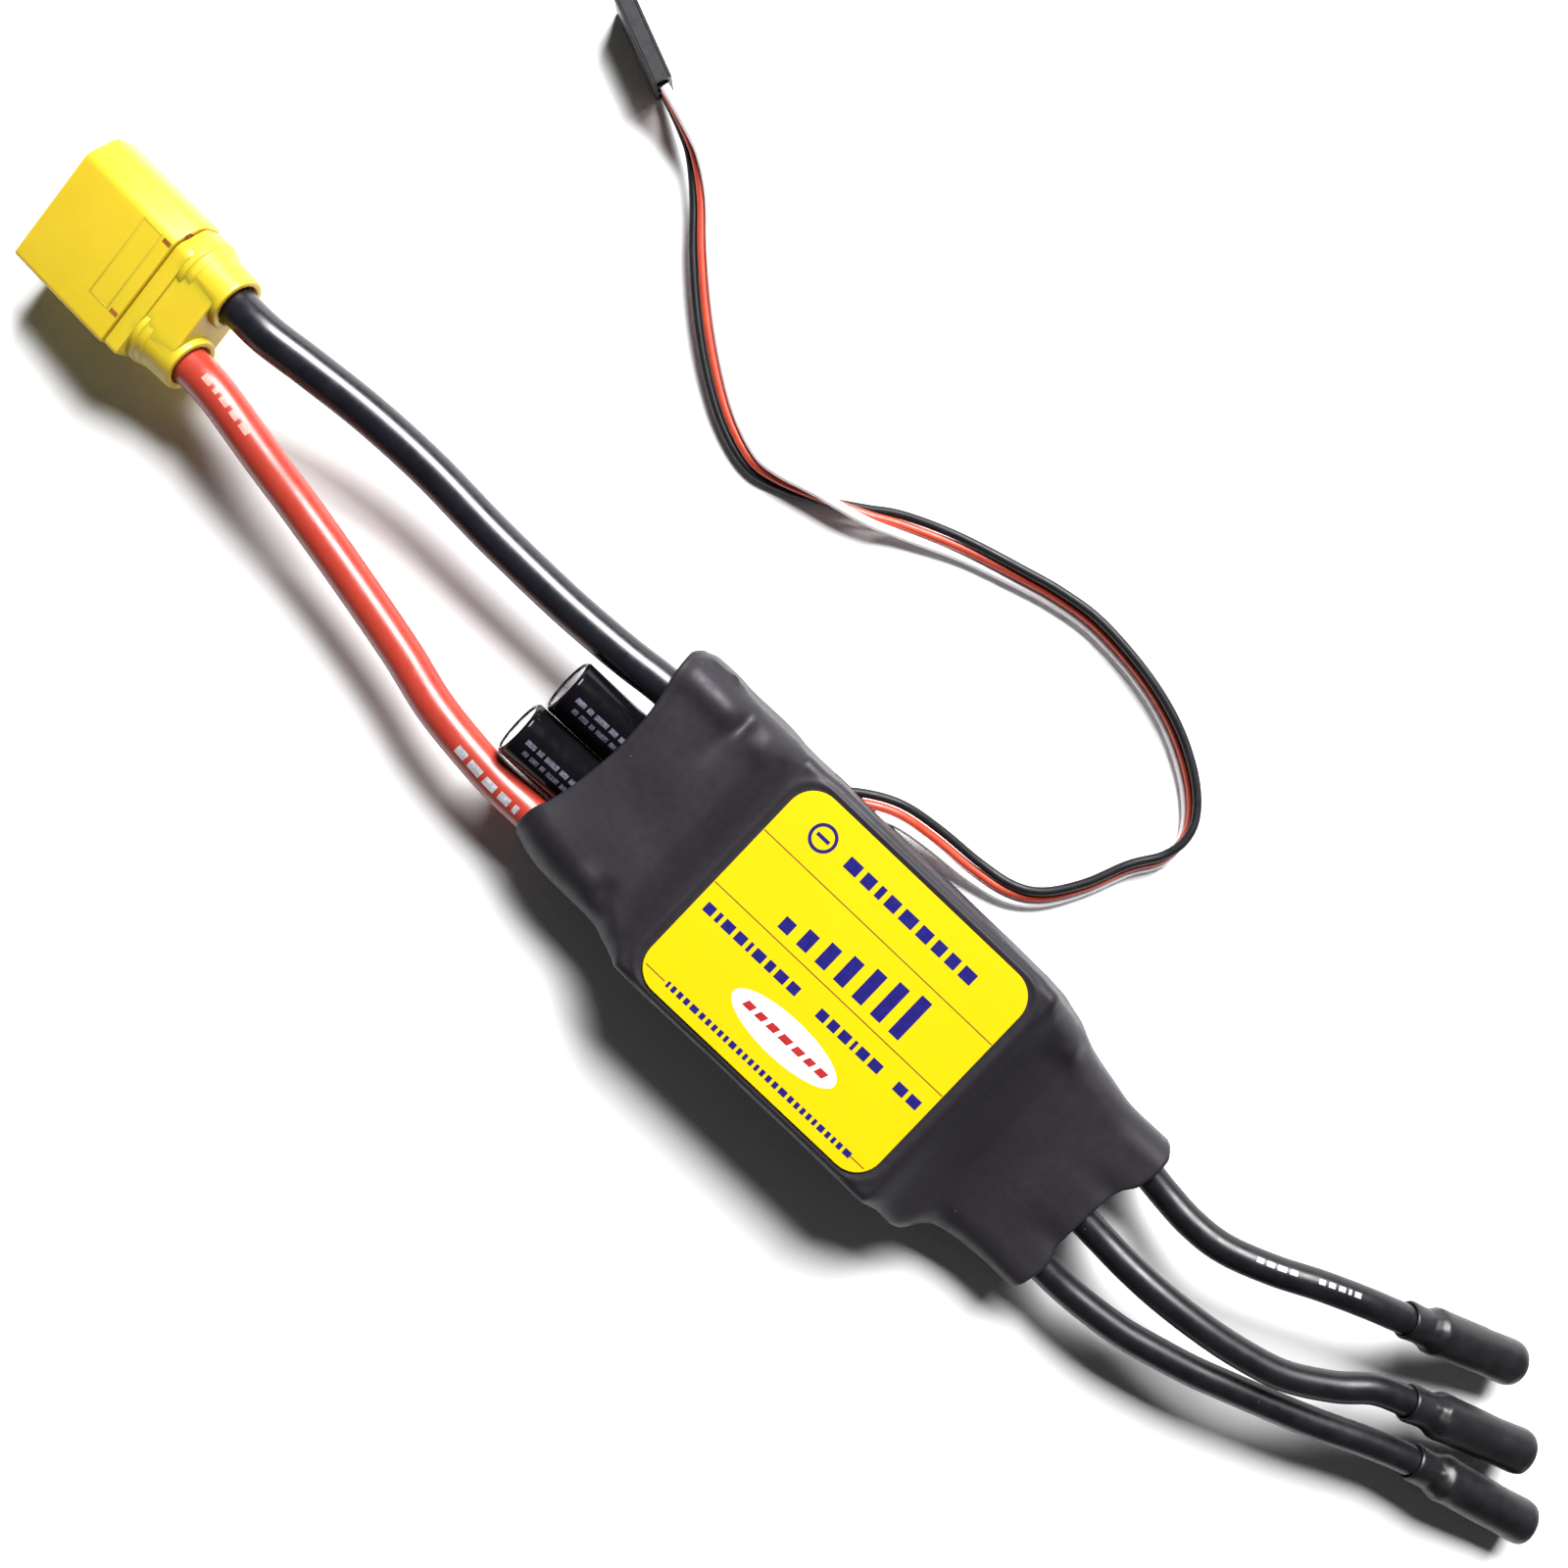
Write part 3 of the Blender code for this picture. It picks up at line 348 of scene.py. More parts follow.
# A finish: its material's name, its roughness from low to high, its two colours and how finely they
# mix, its bump's fineness and height in mm, and whether it is metal.
Finish = namedtuple("Finish", "material roughness first second scale bump metallic", defaults=(None, 0.0))
INK = (0.4, 0.5)
FINISHES = {
    "wrap": ("wrap_film", (0.46, 0.56), (0.0095, 0.0085, 0.0105), (0.0135, 0.012, 0.0150), 60),
    "label": ("label_film", (0.42, 0.52), (0.52, 0.375, 0.0), (0.54, 0.39, 0.0), 60, (1500, 0.004)),
    "blue": ("print_blue", INK, (0.008, 0.006, 0.10), (0.010, 0.008, 0.115), 900),
    "red": ("print_red", INK, (0.27, 0.006, 0.008), (0.31, 0.008, 0.010), 900),
    "white": ("print_white", INK, (0.90, 0.90, 0.88), (0.95, 0.95, 0.94), 900),
    "brown": ("print_brown", INK, (0.10, 0.035, 0.0), (0.13, 0.045, 0.005), 900),
    "pink": ("print_pink", INK, (0.50, 0.16, 0.13), (0.60, 0.24, 0.20), 1500),
    "pale": ("print_pale", INK, (0.22, 0.22, 0.25), (0.42, 0.42, 0.46), 1500),
    "grey": ("print_grey", (0.3, 0.45), (0.03, 0.03, 0.045), (0.13, 0.13, 0.17), 2500),
    "black_lead": (
        "silicone_black", (0.24, 0.33), (0.005, 0.005, 0.008), (0.008, 0.008, 0.012), 300, (500, 0.002),
    ),
    "red_lead": ("silicone_red", (0.26, 0.36), (0.29, 0.028, 0.016), (0.32, 0.033, 0.020), 250, (500, 0.002)),
    "motor_lead": (
        "silicone_black_matt", (0.30, 0.40), (0.004, 0.004, 0.006), (0.008, 0.008, 0.010), 400, (700, 0.004),
    ),
    "ribbon_red": ("pvc_red", (0.35, 0.5), (0.42, 0.035, 0.014), (0.48, 0.05, 0.02), 500, (1500, 0.01)),
    "ribbon_white": ("pvc_white", (0.35, 0.5), (0.86, 0.84, 0.86), (0.92, 0.90, 0.92), 500, (1500, 0.01)),
    "ribbon_black": (
        "pvc_black", (0.35, 0.5), (0.006, 0.006, 0.008), (0.010, 0.010, 0.012), 500, (1500, 0.01),
    ),
    "nylon": ("nylon_yellow", (0.34, 0.46), (0.51, 0.372, 0.014), (0.53, 0.390, 0.018), 160, (1800, 0.012)),
    # Painted shade: the dark orange of the connector's slots and of the seam between housing and tail cap stands
    # in for the shade in those recesses.
    "slot": ("slot_shade", (0.6, 0.7), (0.16, 0.05, 0.002), (0.22, 0.075, 0.003), 900),
    "shrink": ("bullet_film", (0.34, 0.44), (0.005, 0.005, 0.006), (0.010, 0.009, 0.011), 350, (700, 0.05)),
    "skin": ("capacitor_film", (0.12, 0.18), (0.002, 0.002, 0.003), (0.004, 0.004, 0.005), 300, (500, 0.01)),
    "gold": ("gold_plate", (0.16, 0.30), (0.95, 0.66, 0.28), (0.88, 0.60, 0.25), 400, (1500, 0.006), 1.0),
    "can": ("can_aluminium", (0.18, 0.30), (0.82, 0.82, 0.84), (0.90, 0.90, 0.92), 500, (2500, 0.004), 1.0),
    "milled": (
        "milled_aluminium", (0.28, 0.42), (0.70, 0.71, 0.73), (0.80, 0.81, 0.83), 350, (2500, 0.006), 1.0,
    ),
    "tin": ("tin_plate", (0.22, 0.36), (0.62, 0.62, 0.63), (0.76, 0.76, 0.77), 700, (1800, 0.01), 1.0),
    "copper": (
        "tinned_copper", (0.26, 0.42), (0.80, 0.50, 0.34), (0.72, 0.58, 0.46), 450, (1200, 0.015), 1.0,
    ),
    "board": ("solder_mask", (0.30, 0.42), (0.012, 0.10, 0.040), (0.020, 0.15, 0.060), 500, (1200, 0.015)),
    "chip": ("moulded_epoxy", (0.48, 0.62), (0.018, 0.018, 0.019), (0.030, 0.030, 0.032), 900, (3500, 0.012)),
    "ferrite": ("pressed_ferrite", (0.6, 0.8), (0.075, 0.075, 0.082), (0.13, 0.13, 0.14), 1200, (3000, 0.03)),
    "pad": ("silicone_pad", (0.6, 0.75), (0.20, 0.33, 0.47), (0.27, 0.41, 0.55), 400, (900, 0.03)),
    "rubber": ("bung_rubber", (0.55, 0.7), (0.022, 0.022, 0.023), (0.038, 0.038, 0.040), 700, (2000, 0.02)),
    "plug": ("plug_plastic", (0.36, 0.5), (0.010, 0.010, 0.012), (0.016, 0.016, 0.019), 500, (2500, 0.01)),
    "floor": ("floor", (0.7, 0.8), (0.90, 0.90, 0.90), (0.93, 0.93, 0.93), 4),
}
# Finishes that reflect less than plain plastic does.
DULL_LEVELS = {
    "label": 0.15,
    "blue": 0.15,
    "skin": 0.16,
    "ribbon_black": 0.25,
    "wrap": 0.28,
    "motor_lead": 0.30,
    "shrink": 0.30,
    "plug": 0.30,
}


def make_paints():
    """Every finish on the object, by name."""
    paints = {}
    for name, row in FINISHES.items():
        finish = Finish(*row)
        paints[name] = Paint(finish.material, finish.roughness, finish.metallic)
        paints[name].colours(finish.first, finish.second, finish.scale)
        if finish.bump:
            fineness, height = finish.bump
            paints[name].bump(fineness, height * MM)
    for name, level in DULL_LEVELS.items():
        paints[name].fixed(Specular_IOR_Level=level)
    paints["wrap"].dust((0.28, 0.28, 0.30), 1.7 * MM, 0.05 * MM, 0.10)
    paints["wrap"].fixed(Specular_Tint=(0.94, 0.90, 1.0, 1.0)).bump(2600, 0.01 * MM, strength=0.25)
    paints["motor_lead"].dust((0.2, 0.2, 0.22), 1.5 * MM, 0.05 * MM, 0.12)
    paints["shrink"].dust((0.2, 0.2, 0.21), 1.4 * MM, 0.05 * MM, 0.12)
    paints["red_lead"].fixed(Subsurface_Weight=0.12, Subsurface_Scale=0.6 * MM)
    paints["nylon"].fixed(Subsurface_Weight=0.35, Subsurface_Scale=2.0 * MM)
    paints["nylon"].fixed(Subsurface_Radius=(1.0, 0.6, 0.1))
    return {name: paint.material for name, paint in paints.items()}


PAINTS = make_paints()

# --- Mesh helpers ---


def mount(obj, *nodes):
    """The piece rides with the body and stands for these CAD nodes."""
    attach(obj, BODY)
    if nodes:
        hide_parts(*nodes)
    return obj


def add_mesh(name, bm, paint, nodes=(), place=None, sharp=38):
    bmesh.ops.recalc_face_normals(bm, faces=bm.faces)
    mesh = bpy.data.meshes.new(name)
    if place:
        bm.transform(place)
    bm.to_mesh(mesh)
    bm.free()
    mesh.shade_smooth()
    mesh.set_sharp_from_angle(angle=math.radians(sharp))
    mesh.materials.append(PAINTS[paint])
    obj = bpy.data.objects.new(name, mesh)
    SCENE.collection.objects.link(obj)
    return mount(obj, *nodes)


def turn_rings(bm, profile, sides):
    """Faces of a body turned about X from (x, radius) points."""
    rings = []
    for x, radius in profile:
        if radius == 0:
            rings.append([bm.verts.new((x, 0, 0))])
            continue
        turns = [2 * math.pi * k / sides for k in range(sides)]
        rings.append([bm.verts.new((x, radius * math.cos(a), radius * math.sin(a))) for a in turns])
    pairs = list(zip(rings, rings[1:]))
    if len(rings[0]) > 1:
        pairs.append((rings[-1], rings[0]))
    for first, second in pairs:
        for k in range(sides):
            corners = (first[k % len(first)], first[(k + 1) % len(first)])
            corners += (second[(k + 1) % len(second)], second[k % len(second)])
            bm.faces.new(list(dict.fromkeys(corners)))


def rounded_profile(points, radius, steps=4):
    """The same (x, radius) points with each inner corner rounded off."""
    out = [points[0]]
    for before, corner, after in zip(points, points[1:], points[2:]):
        here = Vector(corner)
        back = Vector(before) - here
        on = Vector(after) - here
        reach = min(radius, back.length * 0.45, on.length * 0.45)
        start = here + back.normalized() * reach
        end = here + on.normalized() * reach
        for k in range(steps + 1):
            t = k / steps
            out.append(tuple(start * (1 - t) ** 2 + here * 2 * t * (1 - t) + end * t * t))
    out.append(points[-1])
    return out


def spline_point(points, k, t):
    """The point at share t of the way from point k to the next, on a smooth curve."""
    before = points[max(k - 1, 0)]
    here, there = points[k], points[k + 1]
    after = points[min(k + 2, len(points) - 1)]
    leave = (there - before) / 2
    arrive = (after - here) / 2
    t2, t3 = t * t, t * t * t
    return (
        here * (2 * t3 - 3 * t2 + 1)
        + leave * (t3 - 2 * t2 + t)
        + there * (3 * t2 - 2 * t3)
        + arrive * (t3 - t2)
    )


def smooth_line(route, spacing):
    """Evenly spaced points on one smooth curve through a route."""
    points = [Vector(p) for p in route]
    fine = [spline_point(points, k, s / 24) for k in range(len(points) - 1) for s in range(24)]
    fine.append(points[-1])
    lengths = [0.0]
    for a, b in zip(fine, fine[1:]):
        lengths.append(lengths[-1] + (b - a).to_3d().length)
    count = max(2, round(lengths[-1] / spacing))
    line = []
    k = 0
    for step in range(count + 1):
        target = lengths[-1] * step / count
        while k < len(fine) - 2 and lengths[k + 1] < target:
            k += 1
        share = (target - lengths[k]) / (lengths[k + 1] - lengths[k])
        line.append(fine[k].lerp(fine[k + 1], share))
    return line


def line_length(line):
    return sum((b - a).to_3d().length for a, b in zip(line, line[1:]))


def tube(name, line, diameter, paint, node):
    """A round cord, as a curve along a line of points."""
    curve = bpy.data.curves.new(name, "CURVE")
    curve.dimensions = "3D"
    curve.bevel_depth = diameter / 2
    curve.bevel_resolution = 10
    curve.use_fill_caps = True
    spline = curve.splines.new("POLY")
    spline.points.add(len(line) - 1)
    for point, place in zip(spline.points, line):
        point.co = (*place[:3], 1.0)
    spline.use_smooth = True
    curve.materials.append(PAINTS[paint])
    obj = bpy.data.objects.new(name, curve)
    SCENE.collection.objects.link(obj)
    return mount(obj, node)


def ribbon_wire(order):
    """The line of one wire of the signal ribbon: order 1 is black, 0 red and -1 white."""
    middle = smooth_line([Vector(p) for p in SERVO_ROUTE], 0.9 * MM)
    total = line_length(middle)
    wire = []
    travelled = 0.0
    for k, point in enumerate(middle):
        ahead = middle[min(k + 1, len(middle) - 1)].to_3d() - middle[max(k - 1, 0)].to_3d()
        left = Vector((-ahead.y, ahead.x, 0)).normalized()
        up = ahead.normalized().cross(left)
        turn = math.radians(point[3])
        if k:
            travelled += (point - middle[k - 1]).to_3d().length
        spread = max(0.0, 1 - (total - travelled) / SPREAD_LENGTH)
        pitch = SERVO_WIRE_PITCH + spread * (CONTACT_PITCH - SERVO_WIRE_PITCH)
        wire.append(point.to_3d() + order * pitch * (math.cos(turn) * left + math.sin(turn) * up))
    return wire


def tube_marks(name, line, radius, marks, paint):
    """Plain printed marks on a tube.

    Each is (start, end) along it and (start, end) in degrees round it from the top.
    """
    bm = bmesh.new()
    reach = [0.0]
    for a, b in zip(line, line[1:]):
        reach.append(reach[-1] + (b - a).length)

    def spot(along, degrees):
        k = max(1, next((i for i, far in enumerate(reach) if far >= along), len(reach) - 1))
        share = (along - reach[k - 1]) / (reach[k] - reach[k - 1])
        centre = line[k - 1].lerp(line[k], share)
        ahead = (line[k] - line[k - 1]).normalized()
        side = ahead.cross(Vector((0, 0, 1))).normalized()
        top = side.cross(ahead)
        angle = math.radians(degrees)
        return centre + radius * (math.cos(angle) * top + math.sin(angle) * side)

    for (start, end), (low, high) in marks:
        long_steps = max(1, math.ceil((end - start) / (0.5 * MM)))
        round_steps = max(1, math.ceil((high - low) / 8))
        alongs = [start + (end - start) * i / long_steps for i in range(long_steps + 1)]
        turns = [low + (high - low) * j / round_steps for j in range(round_steps + 1)]
        grid = [[bm.verts.new(spot(along, degrees)) for degrees in turns] for along in alongs]
        for i in range(long_steps):
            for j in range(round_steps):
                bm.faces.new((grid[i][j], grid[i + 1][j], grid[i + 1][j + 1], grid[i][j + 1]))
    return add_mesh(name, bm, paint)


# --- The cords ---


def make_cords():
    """Every lead and wire, as its piece and its line of points."""
    cords = {}
    for sign, route in (("black", BLACK_LEAD_ROUTE), ("red", RED_LEAD_ROUTE)):
        line = smooth_line(route, 1.2 * MM)
        name = f"battery_lead_{sign}"
        piece = tube(f"look_{name}", line, BATTERY_LEAD_DIAMETER, f"{sign}_lead", name)
        cords[name] = (piece, line)
    for number, route in enumerate(MOTOR_LEAD_ROUTES, 1):
        line = smooth_line(route, 1.0 * MM)
        name = f"motor_lead_{number}"
        piece = tube(f"look_{name}", line, MOTOR_LEAD_DIAMETER, "motor_lead", name)
        cords[name] = (piece, line)
    for colour, order in (("black", 1), ("red", 0), ("white", -1)):
        line = ribbon_wire(order)
        name = f"servo_wire_{colour}"
        piece = tube(f"look_{name}", line, SERVO_WIRE_DIAMETER, f"ribbon_{colour}", name)
        cords[name] = (piece, line)
    return cords


def mark_run(start, lengths, gap, angles):
    """Marks for tube_marks: a row of dashes that starts this far along."""
    marks = []
    at = start
    for length in lengths:
        marks.append(((at * MM, (at + length) * MM), angles))
        at += length + gap
    return marks


def mark_leads(cords):
    """Plain dashes where the leads are printed."""
    red = BATTERY_LEAD_DIAMETER / 2 + 0.015 * MM
    near = mark_run(10.0, (0.7, 1.7, 1.9, 2.1, 1.7), 0.7, (-30, -4))
    tube_marks("look_red_lead_marks_near", cords["battery_lead_red"][1], red, near, "pale")
    far = mark_run(68.0, (1.5, 1.3, 1.3, 0.5, 1.2), 0.6, (2, 24))
    tube_marks("look_red_lead_marks_far", cords["battery_lead_red"][1], red, far, "pink")
    motor = MOTOR_LEAD_DIAMETER / 2 + 0.015 * MM
    marks = mark_run(23.5, (0.9, 1.0, 1.2, 1.0), 0.4, (-36, -16))
    marks += mark_run(31.5, (0.8, 0.9, 0.9, 0.4, 0.9), 0.4, (-34, -14))
    tube_marks("look_motor_lead_marks", cords["motor_lead_1"][1], motor, marks, "pale")


# --- The wrap ---

# The wrap's cross-sections in mm: where each is, how far it reaches to either side, down and up, how far its
# sides lean in, and the radius of its upper corners.
Station = namedtuple("Station", "x left right low high lean round_top")
STATIONS = (
    Station(-40.0, -15.2, 18.6, 2.2, 13.8, 0.2, 5.4),
    Station(-37.6, -15.8, 19.2, 1.4, 14.1, 0.2, 5.4),
    Station(-34.0, -16.4, 19.3, 0.6, 14.3, 0.3, 5.2),
    Station(-29.0, -16.9, 19.0, 0.0, 14.4, 0.6, 4.8),
    Station(-24.6, -17.0, 19.0, 0.0, 14.8, 0.7, 4.4),
    Station(-22.0, -17.5, 18.9, 0.0, 15.9, 0.7, 3.2),
    Station(-20.0, -18.0, 18.7, 0.0, 17.2, 0.7, 1.9),
    Station(-19.0, -18.3, 18.7, 0.0, 17.6, 0.6, 1.4),
    Station(2.0, -18.5, 18.7, 0.0, 17.65, 0.8, 1.3),
    Station(23.2, -18.7, 18.6, 0.0, 17.6, 0.8, 1.4),
    Station(24.2, -18.8, 18.5, 0.0, 17.1, 0.9, 2.0),
    Station(26.4, -18.8, 18.3, 0.0, 15.2, 1.0, 2.8),
    Station(28.8, -18.8, 17.7, 0.0, 13.5, 0.8, 3.5),
    Station(30.4, -18.4, 17.3, 0.0, 12.6, 0.6, 3.8),
    Station(31.4, -17.4, 16.9, 0.0, 12.1, 0.5, 3.9),
    Station(32.4, -16.2, 16.4, 0.1, 11.8, 0.4, 4.0),
    Station(34.4, -15.0, 15.6, 0.3, 11.3, 0.3, 4.0),
    Station(37.5, -14.4, 14.9, 0.7, 10.8, 0.3, 4.0),
    Station(43.0, -14.1, 14.0, 1.5, 10.3, 0.2, 3.8),
    Station(49.6, -14.0, 13.9, 2.2, 10.1, 0.2, 3.5),
)
LOW_RADIUS = 3.0
WRAP_WALL = 0.5 * MM
# Steps in each corner, then along each edge, starting with the positive side.
RING_STEPS = (12, 13, 92, 13, 46)
# How far in from an open end its edge's shape still shows, in mm.
MOUTH_REACH = 9.0

# Where the open ends' edges lie: (y, x) from the negative side to the positive, in mm.
BATTERY_MOUTH = (
    (-15.2, -39.6),
    (-13.2, -40.2),
    (-10.8, -40.0),
    (-8.3, -39.1),
    (-5.0, -38.3),
    (-1.0, -37.7),
    (2.5, -37.4),
    (6.8, -37.5),
    (11.2, -38.1),
    (14.5, -38.8),
    (17.3, -39.0),
    (18.6, -38.4),
)
MOTOR_MOUTH = (
    (-14.0, 46.8),
    (-10.9, 47.2),
    (-8.5, 47.6),
    (-5.6, 46.8),
    (-1.6, 46.9),
    (2.8, 47.3),
    (5.0, 47.8),
    (7.1, 49.0),
    (10.8, 49.6),
    (12.1, 49.6),
    (13.9, 49.0),
)

# Soft bumps and dimples: (x, y, z), their reach along each axis, and their height, in mm.
SWELLS = (
    ((-39.0, 15.9, 14.0), (3.0, 2.2, 5.0), 0.25),
    ((-35.0, 15.4, 14.5), (3.2, 1.9, 5.0), 0.42),
    ((-31.0, 15.3, 14.5), (2.6, 1.9, 5.0), 0.55),
    ((-28.0, 15.3, 14.5), (1.0, 1.8, 4.0), -0.75),
    ((-28.8, 12.4, 14.5), (1.5, 3.4, 4.0), -0.42),
    ((-23.6, 14.6, 15.0), (2.4, 2.2, 5.0), 0.50),
    ((-21.6, 16.6, 15.0), (1.6, 1.6, 5.0), 0.30),
    ((-25.9, 17.0, 14.0), (1.4, 1.2, 4.0), 0.25),
    ((-36.5, -11.6, 13.0), (4.5, 2.8, 5.0), 0.22),
    ((-29.3, -12.6, 13.5), (1.9, 1.9, 4.0), 0.34),
    ((-26.4, -12.2, 14.0), (1.4, 1.7, 4.0), -0.50),
    ((-23.0, -14.0, 14.0), (2.0, 2.2, 5.0), 0.34),
    ((-33.0, -1.0, 14.0), (6.0, 8.0, 5.0), -0.22),
    ((30.2, 13.9, 13.0), (1.5, 1.6, 4.0), 0.60),
    ((33.6, 13.9, 12.0), (1.8, 1.3, 4.0), -0.12),
    ((28.6, 10.8, 13.5), (1.8, 2.4, 4.0), -0.22),
    ((39.0, 12.6, 11.0), (6.5, 1.2, 4.0), 0.22),
    ((29.0, -17.2, 11.0), (2.2, 1.6, 5.0), 0.30),
    ((33.2, -12.8, 11.0), (1.9, 2.2, 4.0), -0.35),
    ((44.6, -12.4, 9.5), (4.5, 1.1, 4.0), 0.22),
    ((47.0, 4.2, 10.0), (4.0, 1.8, 3.0), -0.35),
    ((47.0, -5.2, 10.0), (4.0, 1.8, 3.0), -0.35),
    ((26.4, 0.0, 15.5), (2.2, 12.0, 4.0), -0.15),
    ((4.0, -18.5, 8.0), (9.0, 2.0, 5.0), -0.20),
    ((10.0, 18.7, 7.0), (8.0, 2.0, 4.0), -0.15),
)
# The film's fold along the positive side, the edge of the plate under it, and thin ribs beside the label, in mm.
FOLD_LINE = (
    (-40.0, 18.4, 10.8),
    (-38.1, 18.9, 11.2),
    (-35.8, 18.6, 11.4),
    (-33.7, 18.6, 11.4),
    (-31.7, 18.8, 11.0),
    (-28.8, 19.2, 10.0),
    (-24.0, 19.3, 9.4),
    (-17.0, 18.9, 10.4),
)
FOLD_HEIGHT = 0.52
FOLD_WIDTH = 0.38
PLATE_HALF = (20.7, 17.0)
PLATE_CORNER = 4.4
PLATE_RIDGE = 0.17
RIB_HEIGHT = 0.20
RIBS = ((17.75, 0.25), (18.6, 0.25), (19.8, 0.30), (21.6, 0.45))
SLIT_X = (-15.2, -4.4)
SLIT_Z = (3.8, 6.1)


def glide(table, x):
    """The values of a table at x, on curves that never overshoot its rows."""
    rows = [tuple(row) for row in table]
    k = max(0, min(len(rows) - 2, sum(1 for row in rows if row[0] <= x) - 1))
    width = rows[k + 1][0] - rows[k][0]
    t = max(0.0, min(1.0, (x - rows[k][0]) / width))
    values = []
    for column in range(1, len(rows[0])):

        def steep(j):
            if j < 0 or j > len(rows) - 2:
                return 0.0
            return (rows[j + 1][column] - rows[j][column]) / (rows[j + 1][0] - rows[j][0])

        def tangent(j):
            before, after = steep(j - 1), steep(j)
            return 0.0 if before * after <= 0 else 2 * before * after / (before + after)

        a, b = rows[k][column], rows[k + 1][column]
        t2, t3 = t * t, t * t * t
        value = a * (2 * t3 - 3 * t2 + 1) + b * (3 * t2 - 2 * t3)
        value += width * (tangent(k) * (t3 - 2 * t2 + t) + tangent(k + 1) * (t3 - t2))
        values.append(value)
    return values


def wrap_ring(x):
    """One ring of the wrap in mm, anticlockwise seen from +X, starting low on the positive side."""
    left, right, low, high, lean, top_radius = glide(STATIONS, x)
    corners = (
        (right - LOW_RADIUS, low + LOW_RADIUS, LOW_RADIUS, -90),
        (right - lean - top_radius, high - top_radius, top_radius, 0),
        (left + lean + top_radius, high - top_radius, top_radius, 90),
        (left + LOW_RADIUS, low + LOW_RADIUS, LOW_RADIUS, 180),
    )
    corner_steps, *edges = RING_STEPS
    arcs = []
    for y, z, radius, start in corners:
        turns = [math.radians(start + 90 * k / corner_steps) for k in range(corner_steps + 1)]
        arcs.append([Vector((x, y + radius * math.cos(a), z + radius * math.sin(a))) for a in turns])
    ring = []
    for arc, following, between in zip(arcs, arcs[1:] + arcs[:1], edges):
        ring += arc
        ring += [arc[-1].lerp(following[0], (k + 1) / (between + 1)) for k in range(between)]
    return ring


def pull_mouth(point):
    """Draw an open end's edge to its own line."""
    for table, end, inward in ((BATTERY_MOUTH, STATIONS[0].x, 1), (MOTOR_MOUTH, STATIONS[-1].x, -1)):
        near = max(0.0, 1 - inward * (point.x - end) / MOUTH_REACH)
        if near:
            edge = glide(table, max(table[0][0], min(table[-1][0], point.y)))[0]
            point.x += (edge - end) * near


def distance_to_fold(point):
    """How far a point is from the fold's line, in mm."""
    nearest = 1e9
    for a, b in zip(FOLD_LINE, FOLD_LINE[1:]):
        a, b = Vector(a), Vector(b)
        share = max(0.0, min(1.0, (point - a).dot(b - a) / (b - a).length_squared))
        nearest = min(nearest, (point - a.lerp(b, share)).length)
    return nearest


def wrap_relief(point):
    """How far the film stands out from its plain shape at a point, in mm."""
    total = 0.0
    for centre, reach, height in SWELLS:
        away = sum(((p - c) / r) ** 2 for p, c, r in zip(point, centre, reach))
        if away < 9:
            total += height * math.exp(-away)
    if point.x < -14 and point.y > 12:
        total += FOLD_HEIGHT * math.exp(-((distance_to_fold(point) / FOLD_WIDTH) ** 2))
    across = abs(point.x - LABEL_CENTRE_X / MM) - (PLATE_HALF[0] - PLATE_CORNER)
    aside = abs(point.y) - (PLATE_HALF[1] - PLATE_CORNER)
    rim = math.hypot(max(across, 0), max(aside, 0)) + min(max(across, aside), 0) - PLATE_CORNER
    if point.z > 15.5:
        total += PLATE_RIDGE * math.exp(-((rim / 0.32) ** 2))
    inside = max(0.0, min(1.0, (rim + 0.2) / 2.5))
    if point.y > 16.9 and -17 < point.x < 23.5:
        fade = min(1.0, (point.x + 17) / 3, (23.5 - point.x) / 3)
        travelled = point.y + max(0.0, 17.0 - point.z)
        total += sum(RIB_HEIGHT * fade * math.exp(-(((travelled - at) / width) ** 2)) for at, width in RIBS)
    broad = noise.noise(point * 0.13) * 0.16
    middle = noise.noise(point * 0.3 + Vector((7, 3, 1))) * 0.03
    return total + inside * (broad + middle)


def wrap_grid():
    """The outer points, ring by ring, in metres."""
    start, end = STATIONS[0].x, STATIONS[-1].x
    count = 210
    grid = []
    for step in range(count + 1):
        ring = wrap_ring(start + (end - start) * step / count)
        for point in ring:
            pull_mouth(point)
        grid.append(ring)
    return grid


def grid_normals(grid):
    rows, columns = len(grid), len(grid[0])
    normals = []
    for i in range(rows):
        line = []
        for j in range(columns):
            along = grid[min(i + 1, rows - 1)][j] - grid[max(i - 1, 0)][j]
            around = grid[i][(j + 1) % columns] - grid[i][j - 1]
            line.append(around.cross(along).normalized())
        normals.append(line)
    return normals


def in_slit(corners):
    """Whether a face lies where the film is cut for the ribbon."""
    middle = sum((Vector(c) for c in corners), Vector()) / len(corners)
    inside_x = SLIT_X[0] < middle.x < SLIT_X[1]
    return inside_x and SLIT_Z[0] < middle.z < SLIT_Z[1] and middle.y > 15


